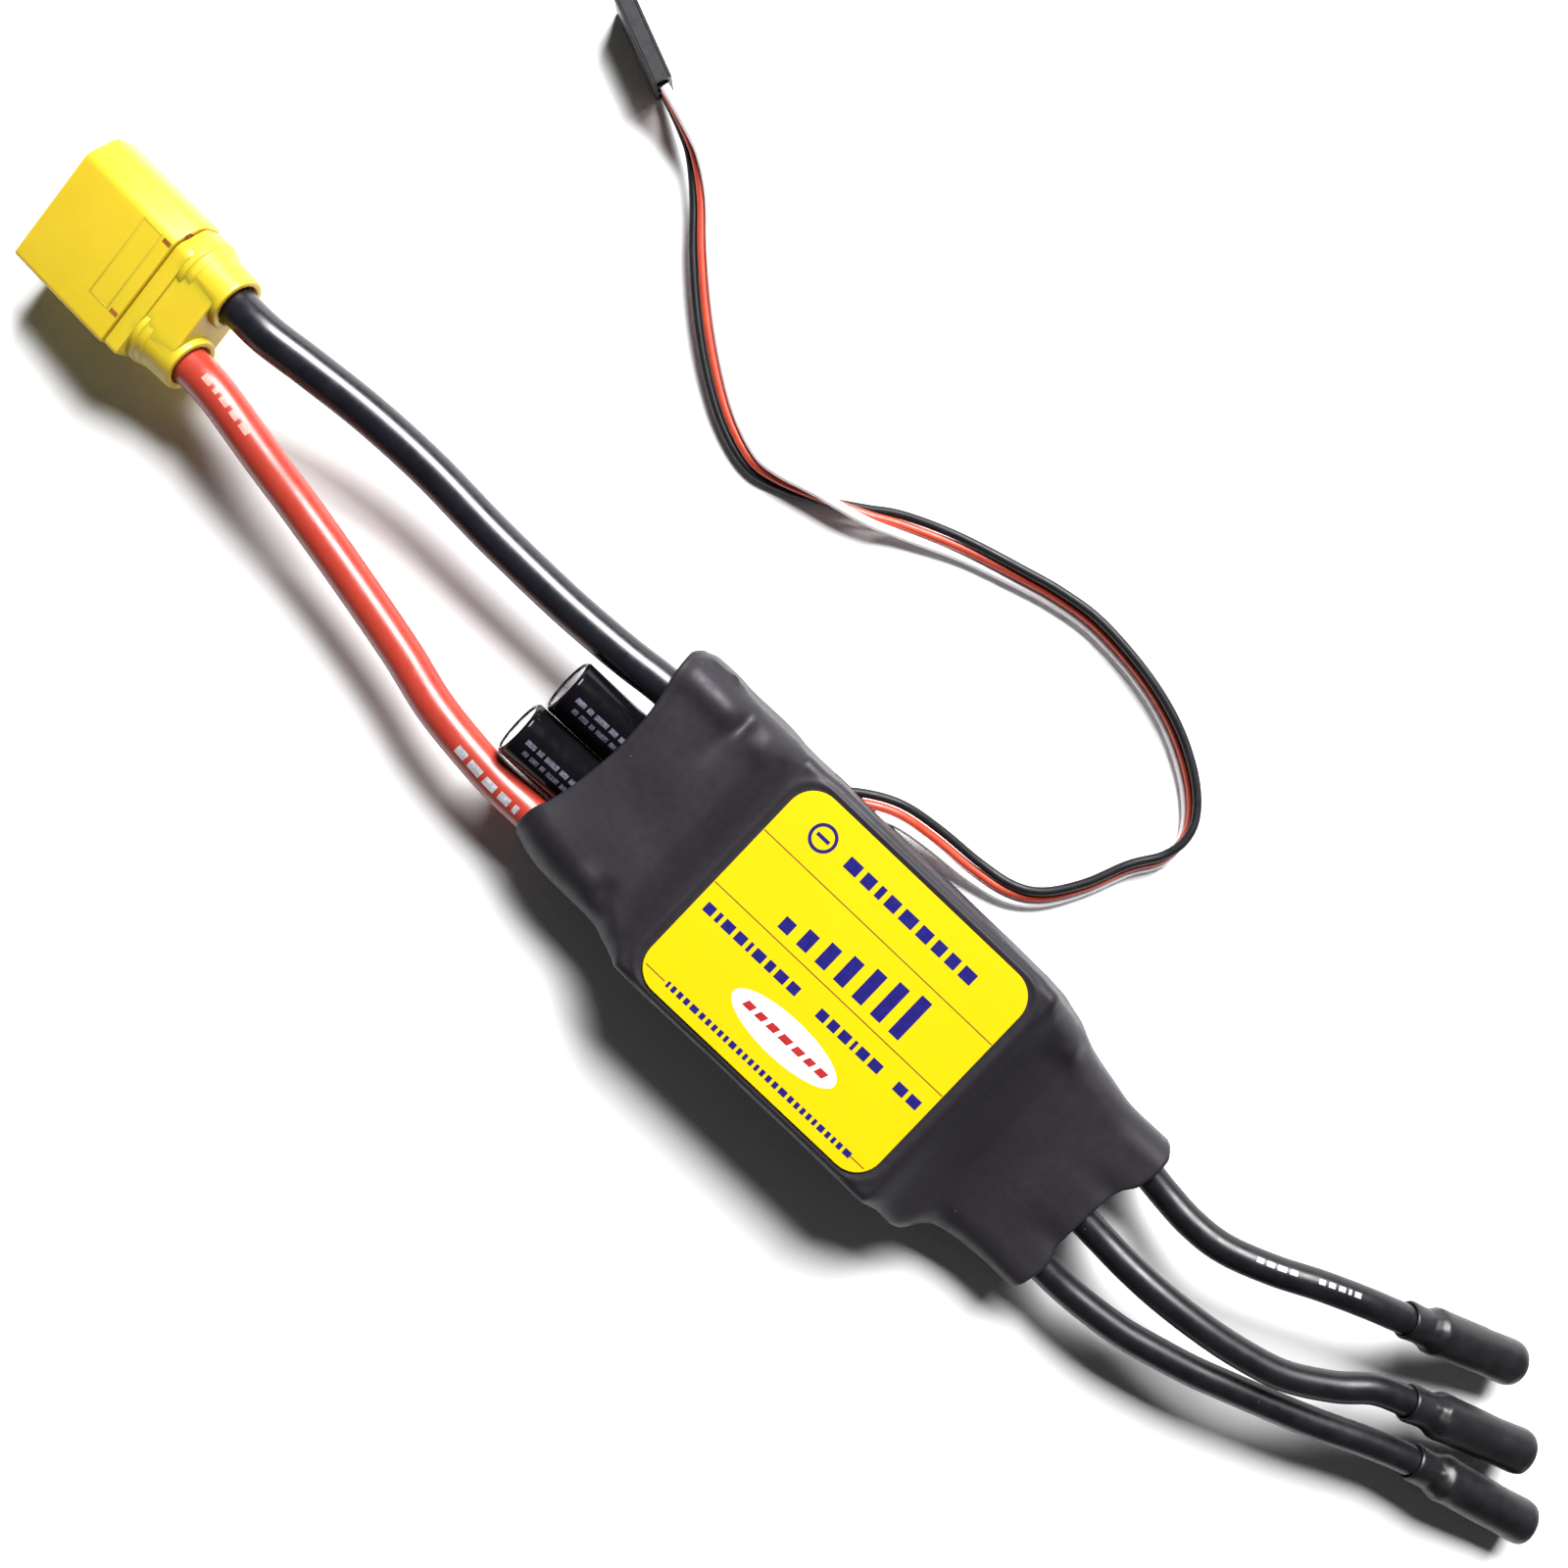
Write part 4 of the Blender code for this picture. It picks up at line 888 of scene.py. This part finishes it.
def make_wrap():
    """The film, with its thickness, its open ends and the slit for the ribbon."""
    plain = wrap_grid()
    normals = grid_normals(plain)
    towards = 1 if normals[len(plain) // 2][len(plain[0]) // 2].dot(Vector((0, 0, 1))) > 0 else -1
    outer, inner = [], []
    for ring, ring_normals in zip(plain, normals):
        shifted = []
        for point, normal in zip(ring, ring_normals):
            raised = point + normal * towards * wrap_relief(point)
            shifted.append(Vector((raised.x, raised.y, max(raised.z, 0.0))))
        outer.append(shifted)
    for ring, ring_normals in zip(outer, grid_normals(outer)):
        inner.append([p - n * towards * WRAP_WALL / MM for p, n in zip(ring, ring_normals)])
    bm = bmesh.new()
    outer_verts = [[bm.verts.new(p * MM) for p in ring] for ring in outer]
    inner_verts = [[bm.verts.new(p * MM) for p in ring] for ring in inner]
    columns = len(outer[0])
    opened = set()
    for i in range(len(outer) - 1):
        for j in range(columns):
            k = (j + 1) % columns
            if in_slit((outer[i][j], outer[i][k], outer[i + 1][k], outer[i + 1][j])):
                opened.add((i, j))
                continue
            for skin in (outer_verts, inner_verts):
                bm.faces.new((skin[i][j], skin[i][k], skin[i + 1][k], skin[i + 1][j]))
    for i, j in opened:
        k = (j + 1) % columns
        borders = (((i, j), (i, k), (i - 1, j)), ((i + 1, j), (i + 1, k), (i + 1, j)))
        borders += (((i, j), (i + 1, j), (i, j - 1)), ((i, k), (i + 1, k), (i, k)))
        for a, b, beyond in borders:
            if beyond not in opened:
                ends = (outer_verts[a[0]][a[1]], outer_verts[b[0]][b[1]])
                bm.faces.new((*ends, inner_verts[b[0]][b[1]], inner_verts[a[0]][a[1]]))
    for i, outward in ((0, -1), (-1, 1)):
        lip = []
        for out, inn in zip(outer[i], inner[i]):
            lip.append(bm.verts.new((out.lerp(inn, 0.4) + Vector((outward * 0.16, 0, 0))) * MM))
        for j in range(columns):
            k = (j + 1) % columns
            bm.faces.new((outer_verts[i][j], outer_verts[i][k], lip[k], lip[j]))
            bm.faces.new((lip[j], lip[k], inner_verts[i][k], inner_verts[i][j]))
    return add_mesh("look_wrap", bm, "wrap", ["heat_shrink_sleeve"], sharp=60)


# --- The label ---


def rounded_rectangle(centre, size, radius, steps=10):
    half_x, half_y = size[0] / 2 - radius, size[1] / 2 - radius
    outline = []
    for quarter, (side_x, side_y) in enumerate(((1, -1), (1, 1), (-1, 1), (-1, -1))):
        x = centre[0] + side_x * half_x
        y = centre[1] + side_y * half_y
        for step in range(steps + 1):
            angle = math.radians(90 * (quarter - 1 + step / steps))
            outline.append((x + radius * math.cos(angle), y + radius * math.sin(angle)))
    return outline


def slab(bm, outline, low, high):
    """A thin flat shape between two heights, given by its outline."""
    bottom = [bm.verts.new((x, y, low)) for x, y in outline]
    top = [bm.verts.new((x, y, high)) for x, y in outline]
    bm.faces.new(bottom[::-1])
    bm.faces.new(top)
    for k in range(len(outline)):
        after = (k + 1) % len(outline)
        bm.faces.new((bottom[k], bottom[after], top[after], top[k]))


def print_shapes(name, shapes, paint, lift):
    """Flat printed shapes on the label, a little above it."""
    bm = bmesh.new()
    for outline in shapes:
        placed = [(LABEL_CENTRE_X + u * MM, v * MM) for u, v in outline]
        slab(bm, placed, LABEL_TOP - 0.01 * MM, LABEL_TOP + lift * MM)
    return add_mesh(name, bm, paint)


def bar(start, end, middle, height, slant=0.0):
    """One bar's corners, in mm on the label."""
    return (
        (start - slant, middle - height / 2),
        (end - slant, middle - height / 2),
        (end + slant, middle + height / 2),
        (start + slant, middle + height / 2),
    )


def ring_parts(centre, radius, width, parts=40):
    """A ring as a row of small four-sided shapes."""
    shapes = []
    for k in range(parts):
        a, b = (math.radians(360 * (k + s) / parts) for s in (0, 1))
        corners = []
        for angle, r in ((a, radius), (b, radius), (b, radius - width), (a, radius - width)):
            corners.append((centre[0] + r * math.cos(angle), centre[1] + r * math.sin(angle)))
        shapes.append(corners)
    return shapes


def run_of_bars(start, widths, gap, middle, height, slant=0.0):
    """Bars of these widths in a row."""
    shapes = []
    at = start
    for width in widths:
        shapes.append(bar(at, at + width, middle, height, slant))
        at += width + gap
    return shapes


def make_label():
    """The film and, in place of its print, plain bars, a ring and an oval."""
    outline = rounded_rectangle((LABEL_CENTRE_X, 0), LABEL_SIZE, LABEL_CORNER)
    bm = bmesh.new()
    slab(bm, outline, LABEL_TOP - 0.30 * MM, LABEL_TOP)
    bmesh.ops.recalc_face_normals(bm, faces=bm.faces)
    rim = [e for e in bm.edges if min(v.co.z for v in e.verts) > LABEL_TOP - 0.01 * MM]
    bmesh.ops.bevel(bm, geom=rim, offset=0.06 * MM, segments=3, affect="EDGES")
    add_mesh("look_label", bm, "label", ["label"])
    rules = [bar(-19.4, 19.4, 7.7, 0.15), bar(-19.4, 19.4, -1.15, 0.15)]
    rules += [bar(-18.6, -15.4, -14.4, 0.15), bar(15.6, 18.6, -14.4, 0.15)]
    print_shapes("look_label_rules", rules, "brown", 0.012)
    blue = ring_parts((-13.4, 11.9), 1.9, 0.45)
    blue += [bar(-14.4, -12.4, 11.9, 0.5)]
    blue += run_of_bars(-9.3, (2.1, 1.7, 0.9, 1.8, 2.2, 1.9, 1.6, 1.6, 2.0), 0.72, 11.9, 1.7)
    for k, height in enumerate((1.8, 2.6, 3.3, 4.0, 4.8, 5.5, 6.2)):
        at = -10.0 + 3.15 * k
        blue.append(bar(at, at + 1.7, 0.1 + height / 2, height))
    blue += run_of_bars(-18.2, (1.4, 0.6, 1.6, 1.5, 0.5, 1.6, 1.1, 1.6, 1.5), 0.54, -4.1, 1.35)
    blue += run_of_bars(1.0, (1.4, 1.3, 1.5, 0.5, 1.5, 1.7), 0.54, -4.1, 1.35)
    blue += run_of_bars(14.2, (1.7, 1.7), 0.54, -4.1, 1.35)
    small = (0.4, 0.6, 0.7, 0.7, 1.1, 0.7, 0.6, 0.6, 0.6, 0.5, 0.9, 0.6, 0.5, 0.6, 0.5)
    blue += run_of_bars(-15.0, small + small[1:13] + small[3:5], 0.42, -14.4, 0.85)
    print_shapes("look_label_blue", blue, "blue", 0.014)
    turns = [2 * math.pi * k / 72 for k in range(72)]
    oval = [(0.2 + 8.6 * math.cos(a), -9.4 + 2.7 * math.sin(a)) for a in turns]
    print_shapes("look_label_oval", [oval], "white", 0.012)
    dashes = run_of_bars(-6.4, (1.4, 1.3, 1.4, 1.6, 1.4, 1.2, 1.4), 0.65, -9.4, 1.0, 0.2)
    print_shapes("look_label_red", dashes, "red", 0.020)


# --- The capacitors ---


def make_capacitor(number, inner_x, y):
    """A can in a shrunk skin, with vent grooves in its bare end and plain dashes on its side."""
    tilt = Matrix.Rotation(CAP_TILT, 4, "Y")
    place = Matrix.Translation((inner_x, y, CAP_INNER_Z)) @ tilt @ Matrix.Translation((-CAP_LENGTH, 0, 0))
    big = CAP_RADIUS
    can_radius = big - 0.30 * MM
    skirt = CAP_LENGTH - 1.2 * MM
    can = [
        (0.30 * MM, 0),
        (0.30 * MM, can_radius - 0.40 * MM),
        (0.50 * MM, can_radius - 0.12 * MM),
        (0.90 * MM, can_radius),
        (skirt, can_radius),
        (skirt, can_radius - 0.5 * MM),
        (skirt - 1.4 * MM, can_radius - 0.5 * MM),
        (skirt - 1.4 * MM, 0),
    ]
    bm = bmesh.new()
    turn_rings(bm, rounded_profile(can, 0.25 * MM), 72)
    add_mesh(f"look_capacitor_{number}_can", bm, "can", [f"capacitor_{number}_can"], place)
    bm = bmesh.new()
    reach = can_radius * 0.72
    groove = 0.07 * MM
    for degrees in (20, 80, 140):
        turn = Matrix.Rotation(math.radians(degrees), 3, "X")
        corners = ((-reach, -groove), (reach, -groove), (reach, groove), (-reach, groove))
        bm.faces.new([bm.verts.new(turn @ Vector((0.285 * MM, a, b))) for a, b in corners])
    add_mesh(f"look_capacitor_{number}_vent", bm, "tin", place=place)
    skin = [
        (0.28 * MM, big - 0.66 * MM),
        (0.12 * MM, big - 0.60 * MM),
        (0.06 * MM, big - 0.36 * MM),
        (0.40 * MM, big),
        (CAP_LENGTH - 2.9 * MM, big),
        (CAP_LENGTH - 2.3 * MM, big - 0.16 * MM),
        (CAP_LENGTH - 1.2 * MM, big),
        (CAP_LENGTH - 0.3 * MM, big - 0.05 * MM),
        (CAP_LENGTH - 0.3 * MM, big - 0.22 * MM),
        (1.0 * MM, big - 0.24 * MM),
        (0.6 * MM, big - 0.30 * MM),
        (0.36 * MM, big - 0.60 * MM),
    ]
    bm = bmesh.new()
    turn_rings(bm, rounded_profile(skin, 0.3 * MM), 72)
    add_mesh(f"look_capacitor_{number}_skin", bm, "skin", [f"capacitor_{number}_skin"], place)
    axis = [place @ Vector((k * MM, 0, 0)) for k in range(int(CAP_LENGTH / MM))]
    marks = mark_run(1.6, (1.5, 0.9, 2.1, 1.2, 1.6), 0.4, (-1, 9))
    marks += mark_run(2.2, (0.8, 1.3, 0.7, 1.9, 1.0), 0.4, (19, 29))
    tube_marks(f"look_capacitor_{number}_print", axis, big + 0.015 * MM, marks, "grey")


# --- The battery connector ---


def connector_place():
    """The connector's own frame: its nose points along -X, from the joint with its tail cap."""
    yaw = Matrix.Rotation(CONNECTOR_YAW, 4, "Z")
    pitch = Matrix.Rotation(CONNECTOR_PITCH, 4, "Y")
    roll = Matrix.Rotation(CONNECTOR_ROLL, 4, "X")
    return Matrix.Translation(CONNECTOR_JOINT) @ yaw @ pitch @ roll


def keyed_outline(inset):
    """The connector's (y, z) section with its corners rounded."""
    wide = HOUSING_WIDTH / 2 - inset
    thick = HOUSING_THICK / 2 - inset
    chamfer = HOUSING_CHAMFER - inset * 0.6
    corners = (
        ((-wide, -thick), 0.7 * MM),
        ((wide - chamfer, -thick), 0.9 * MM),
        ((wide, -thick + chamfer), 0.9 * MM),
        ((wide, thick - chamfer), 0.9 * MM),
        ((wide - chamfer, thick), 0.9 * MM),
        ((-wide, thick), 0.7 * MM),
    )
    outline = []
    for k, (corner, radius) in enumerate(corners):
        here = Vector(corner)
        back = (Vector(corners[k - 1][0]) - here).normalized()
        on = (Vector(corners[(k + 1) % len(corners)][0]) - here).normalized()
        reach = max(radius - inset * 0.4, 0.15 * MM)
        for step in range(7):
            t = step / 6
            outline.append(tuple(here + back * reach * (1 - t) ** 2 + on * reach * t * t))
    return outline


def loft(bm, rings):
    """Faces between rings of (x, y, z) points, with both ends closed."""
    made = [[bm.verts.new(p) for p in ring] for ring in rings]
    for first, second in zip(made, made[1:]):
        for k in range(len(first)):
            after = (k + 1) % len(first)
            bm.faces.new((first[k], first[after], second[after], second[k]))
    bm.faces.new(made[0][::-1])
    bm.faces.new(made[-1])


def section(x, inset):
    """The connector's outline at x, drawn in by this much."""
    return [(x, y, z) for y, z in keyed_outline(inset)]


def rounded_box(bm, low, high, radius, segments=3):
    """A block with rounded edges, added to a mesh."""
    made = bmesh.ops.create_cube(bm, size=1.0)["verts"]
    size = Vector(high) - Vector(low)
    middle = (Vector(high) + Vector(low)) / 2
    bmesh.ops.scale(bm, vec=size, verts=made)
    bmesh.ops.translate(bm, vec=middle, verts=made)
    edges = list({e for v in made for e in v.link_edges})
    bmesh.ops.bevel(bm, geom=edges, offset=radius, segments=segments, affect="EDGES")


def make_connector():
    """The keyed housing with its pocket, the tail cap with its two collars, and the pins."""
    place = connector_place()
    nose = -HOUSING_LENGTH
    wall = HOUSING_WALL
    floor = nose + POCKET_DEPTH
    steps = ((-0.12, 0.45), (-0.14, 0.22), (-0.25, 0.06), (-0.45, 0.0))
    rings = [section(x * MM, inset * MM) for x, inset in steps]
    rings += [section(nose + x * MM, inset * MM) for x, inset in ((0.35, 0.0), (0.12, 0.05), (0.0, 0.22))]
    inner = ((0.0, -0.2), (0.08, -0.06), (0.3, 0.0))
    rings += [section(nose + x * MM, wall + inset * MM) for x, inset in inner]
    rings += [section(floor, wall)]
    bm = bmesh.new()
    loft(bm, rings)
    top = HOUSING_THICK / 2
    frame_x = (-5.4 * MM, -2.0 * MM)
    frame_y = (-5.9 * MM, 5.9 * MM)
    line = 0.16 * MM
    raised = top + 0.03 * MM
    for x0, x1, y0, y1 in (
        (*frame_x, frame_y[0], frame_y[0] + line),
        (*frame_x, frame_y[1] - line, frame_y[1]),
        (frame_x[0], frame_x[0] + line, *frame_y),
        (frame_x[1] - line, frame_x[1], *frame_y),
    ):
        rounded_box(bm, (x0, y0, top - 0.2 * MM), (x1, y1, raised), 0.03 * MM, 1)
    add_mesh("look_connector_housing", bm, "nylon", ["connector_housing"], place)
    # The latch slots and the seam are thin dark orange boxes: painted shade where the housing's slots and its
    # joint with the tail cap sink in.
    bm = bmesh.new()
    for y in (-5.6 * MM, 5.6 * MM):
        for z in (-1, 1):
            low = (-1.6 * MM, y - 0.3 * MM, z * top - 0.03 * MM)
            high = (-0.35 * MM, y + 0.3 * MM, z * top + 0.03 * MM)
            rounded_box(bm, low, high, 0.02 * MM, 1)
    seam = ((-0.2 * MM, -9.0 * MM, -4.2 * MM), (0.25 * MM, 8.2 * MM, 4.2 * MM))
    rounded_box(bm, *seam, 0.3 * MM)
    add_mesh("look_connector_slot_shade", bm, "slot", place=place)
    bm = bmesh.new()
    steps = ((0.14, 0.5), (0.16, 0.34), (0.3, 0.26), (2.1, 0.24), (2.35, 0.34), (2.4, 0.55))
    loft(bm, [section(x * MM, inset * MM) for x, inset in steps])
    half = TERMINAL_PITCH / 2
    web = ((1.5, 4.50), (4.2, 4.15), (7.7, 3.86), (7.9, 3.82), (8.0, 3.70))
    corners = ((-1, -1), (1, -1), (1, 1), (-1, 1))
    loft(bm, [[(x * MM, y * half, z * high * MM) for y, z in corners] for x, high in web])
    collar = [
        (1.6 * MM, COLLAR_BORE),
        (1.6 * MM, COLLAR_ROOT_RADIUS),
        (3.1 * MM, COLLAR_ROOT_RADIUS),
        (3.3 * MM, COLLAR_ROOT_RADIUS - 0.35 * MM),
        (4.2 * MM, COLLAR_ROOT_RADIUS - 0.40 * MM),
        (4.4 * MM, COLLAR_ROOT_RADIUS - 0.62 * MM),
        (COLLAR_LENGTH - 0.3 * MM, COLLAR_END_RADIUS),
        (COLLAR_LENGTH, COLLAR_END_RADIUS - 0.12 * MM),
        (COLLAR_LENGTH, COLLAR_BORE + 0.15 * MM),
        (COLLAR_LENGTH - 0.3 * MM, COLLAR_BORE),
    ]
    for side in (-1, 1):
        part = bmesh.new()
        turn_rings(part, rounded_profile(collar, 0.15 * MM), 64)
        part.transform(Matrix.Translation((0, side * TERMINAL_PITCH / 2, 0)))
        copy = bpy.data.meshes.new("collar")
        part.to_mesh(copy)
        part.free()
        bm.from_mesh(copy)
        bpy.data.meshes.remove(copy)
    add_mesh("look_connector_cap", bm, "nylon", ["connector_tail_cap"], place)
    for side in (-1, 1):
        sign = "negative" if side > 0 else "positive"
        pin = [
            (nose + 1.5 * MM, 0),
            (nose + 1.5 * MM, PIN_RADIUS - 0.9 * MM),
            (nose + 2.3 * MM, PIN_RADIUS),
            (floor + 0.2 * MM, PIN_RADIUS),
            (floor + 0.2 * MM, PIN_RADIUS + 0.35 * MM),
            (2.9 * MM, PIN_RADIUS + 0.35 * MM),
            (2.9 * MM, 0),
        ]
        bm = bmesh.new()
        turn_rings(bm, rounded_profile(pin, 0.3 * MM), 48)
        at = place @ Matrix.Translation((0, side * TERMINAL_PITCH / 2, 0))
        add_mesh(f"look_connector_pin_{sign}", bm, "gold", [f"connector_pin_{sign}"], at)


# --- The motor bullets ---


def make_bullet(number, route):
    """A round socket on a motor lead's end, in a shrunk sleeve with a stepped shoulder."""
    lead_end = Vector(route[-1])
    direction = (lead_end - Vector(route[-2])).normalized()
    turn = Vector((1, 0, 0)).rotation_difference(direction).to_matrix().to_4x4()
    place = Matrix.Translation(lead_end - direction * LEAD_IN_SLEEVE) @ turn
    lead = MOTOR_LEAD_DIAMETER / 2
    big = BULLET_SLEEVE_RADIUS
    end = BULLET_SLEEVE_LENGTH
    sleeve = [
        (0.4 * MM, lead + 0.02 * MM),
        (0.05 * MM, lead + 0.10 * MM),
        (0.0, lead + 0.35 * MM),
        (0.35 * MM, lead + 0.50 * MM),
        (3.0 * MM, lead + 0.38 * MM),
        (4.0 * MM, lead + 0.62 * MM),
        (4.9 * MM, big + 0.08 * MM),
        (6.6 * MM, big),
        (end - 6.0 * MM, big - 0.10 * MM),
        (end - 0.9 * MM, big),
        (end - 0.15 * MM, big - 0.16 * MM),
        (end, big - 0.38 * MM),
        (end - 0.2 * MM, BULLET_RADIUS + 0.06 * MM),
        (6.0 * MM, BULLET_RADIUS + 0.06 * MM),
        (4.4 * MM, lead + 0.25 * MM),
    ]
    bm = bmesh.new()
    turn_rings(bm, rounded_profile(sleeve, 0.8 * MM, 6), 64)
    for vert in bm.verts:
        spread = Vector((0, vert.co.y, vert.co.z))
        if spread.length < 1e-6:
            continue
        shift = Vector((number * 31.0, 5.0, 2.0))
        ripple = noise.noise(vert.co / (2.6 * MM) + shift) * 0.11 * MM
        neck = max(0.0, 1 - abs(vert.co.x - 3.6 * MM) / (3.0 * MM))
        ripple += neck * noise.noise(vert.co / (1.1 * MM) + shift) * 0.16 * MM
        if spread.length > lead + 0.3 * MM:
            vert.co += spread.normalized() * ripple
    add_mesh(f"look_bullet_sleeve_{number}", bm, "shrink", [f"bullet_sleeve_{number}"], place, sharp=60)
    tail = LEAD_IN_SLEEVE + 0.3 * MM
    mouth = tail + BULLET_LENGTH
    socket = [
        (tail, 0),
        (tail, BULLET_RADIUS - 0.3 * MM),
        (tail + 0.5 * MM, BULLET_RADIUS),
        (mouth - 0.25 * MM, BULLET_RADIUS),
        (mouth, BULLET_RADIUS - 0.12 * MM),
        (mouth, BULLET_BORE + 0.12 * MM),
        (mouth - 0.3 * MM, BULLET_BORE),
        (mouth - 8.0 * MM, BULLET_BORE),
        (mouth - 8.4 * MM, 0),
    ]
    bm = bmesh.new()
    turn_rings(bm, rounded_profile(socket, 0.1 * MM), 64)
    add_mesh(f"look_bullet_socket_{number}", bm, "gold", [f"bullet_socket_{number}"], place)


# --- The signal plug ---


def make_plug():
    """The plug stands on its narrow side, so its three contacts lie one above another."""
    place = Matrix.Translation(PLUG_TAIL) @ Matrix.Rotation(PLUG_YAW, 4, "Z")
    thick, wide = PLUG_THICK / 2, PLUG_WIDTH / 2
    wall = 0.28 * MM
    hole = CONTACT_HOLE / 2
    inset = 0.02 * MM
    bm = bmesh.new()
    rounded_box(bm, (0, -thick, -wide), (PLUG_LENGTH, -hole, wide), 0.12 * MM)
    rounded_box(bm, (0, hole, -wide), (PLUG_LENGTH, thick, wide), 0.12 * MM)
    for z0, z1 in (
        (-wide, -CONTACT_PITCH - hole),
        (-CONTACT_PITCH + hole, -hole),
        (hole, CONTACT_PITCH - hole),
        (CONTACT_PITCH + hole, wide),
    ):
        low = (inset, -thick + wall, z0)
        rounded_box(bm, low, (PLUG_LENGTH - inset, thick - wall, z1), 0.05 * MM, 2)
    add_mesh("look_plug_housing", bm, "plug", ["servo_plug_housing"], place)
    bm = bmesh.new()
    for k in (-1, 0, 1):
        z = k * CONTACT_PITCH
        for x0, x1, half, proud, edge in ((3.4, 6.6, 0.6, 0.012, 0.01), (4.0, 6.0, 0.35, 0.05, 0.02)):
            low = (x0 * MM, thick - inset, z - half * MM)
            high = (x1 * MM, thick + proud * MM, z + half * MM)
            rounded_box(bm, low, high, edge * MM, 1)
    add_mesh("look_plug_latches", bm, "chip", place=place)
    half = 0.55 * MM
    for k in (-1, 0, 1):
        z = k * CONTACT_PITCH
        bm = bmesh.new()
        high = (PLUG_LENGTH - 1.2 * MM, half, z + half)
        rounded_box(bm, (1.6 * MM, -half, z - half), high, 0.15 * MM)
        add_mesh(f"look_servo_contact_{k + 2}", bm, "tin", [f"servo_contact_{k + 2}"], place)


# --- The parts inside, which keep their CAD shapes ---

INNER_PAINTS = {
    "milled": ("heatsink_plate",),
    "pad": ("thermal_pad",),
    "board": ("power_board", "control_board"),
    "chip": ("mosfet", "microcontroller", "gate_driver", "bec_regulator", "board_header"),
    "ferrite": ("bec_inductor",),
    "copper": ("bus_bar", "phase_tab"),
    "tin": ("capacitor_1_leg", "capacitor_2_leg"),
    "rubber": ("capacitor_1_bung", "capacitor_2_bung"),
}


def paint_inner_parts():
    """Each CAD node whose name starts with one of these words gets that finish."""
    for paint, starts in INNER_PAINTS.items():
        for name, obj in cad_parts.items():
            if name.startswith(starts):
                obj.data.materials.clear()
                obj.data.materials.append(PAINTS[paint])


def declare_cords(cords):
    """Goes through each lead and wire, but sets nothing on them."""
    for name, (piece, line) in cords.items():
        if name.startswith("battery"):
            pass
        elif name.startswith("motor"):
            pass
        else:
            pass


def make_floor():
    bm = bmesh.new()
    bmesh.ops.create_grid(bm, x_segments=8, y_segments=8, size=1.6)
    mesh = bpy.data.meshes.new("floor")
    bm.to_mesh(mesh)
    bm.free()
    mesh.materials.append(PAINTS["floor"])
    floor = bpy.data.objects.new("floor", mesh)
    floor.location.z = -0.03 * MM
    SCENE.collection.objects.link(floor)


make_camera()
make_light()
CORDS = make_cords()
mark_leads(CORDS)
make_wrap()
make_label()
for cap_number, (cap_inner, cap_y) in enumerate(CAP_INNER_ENDS, 1):
    make_capacitor(cap_number, cap_inner, cap_y)
make_connector()
for bullet_number, bullet_route in enumerate(MOTOR_LEAD_ROUTES, 1):
    make_bullet(bullet_number, bullet_route)
make_plug()
paint_inner_parts()
declare_cords(CORDS)
make_floor()
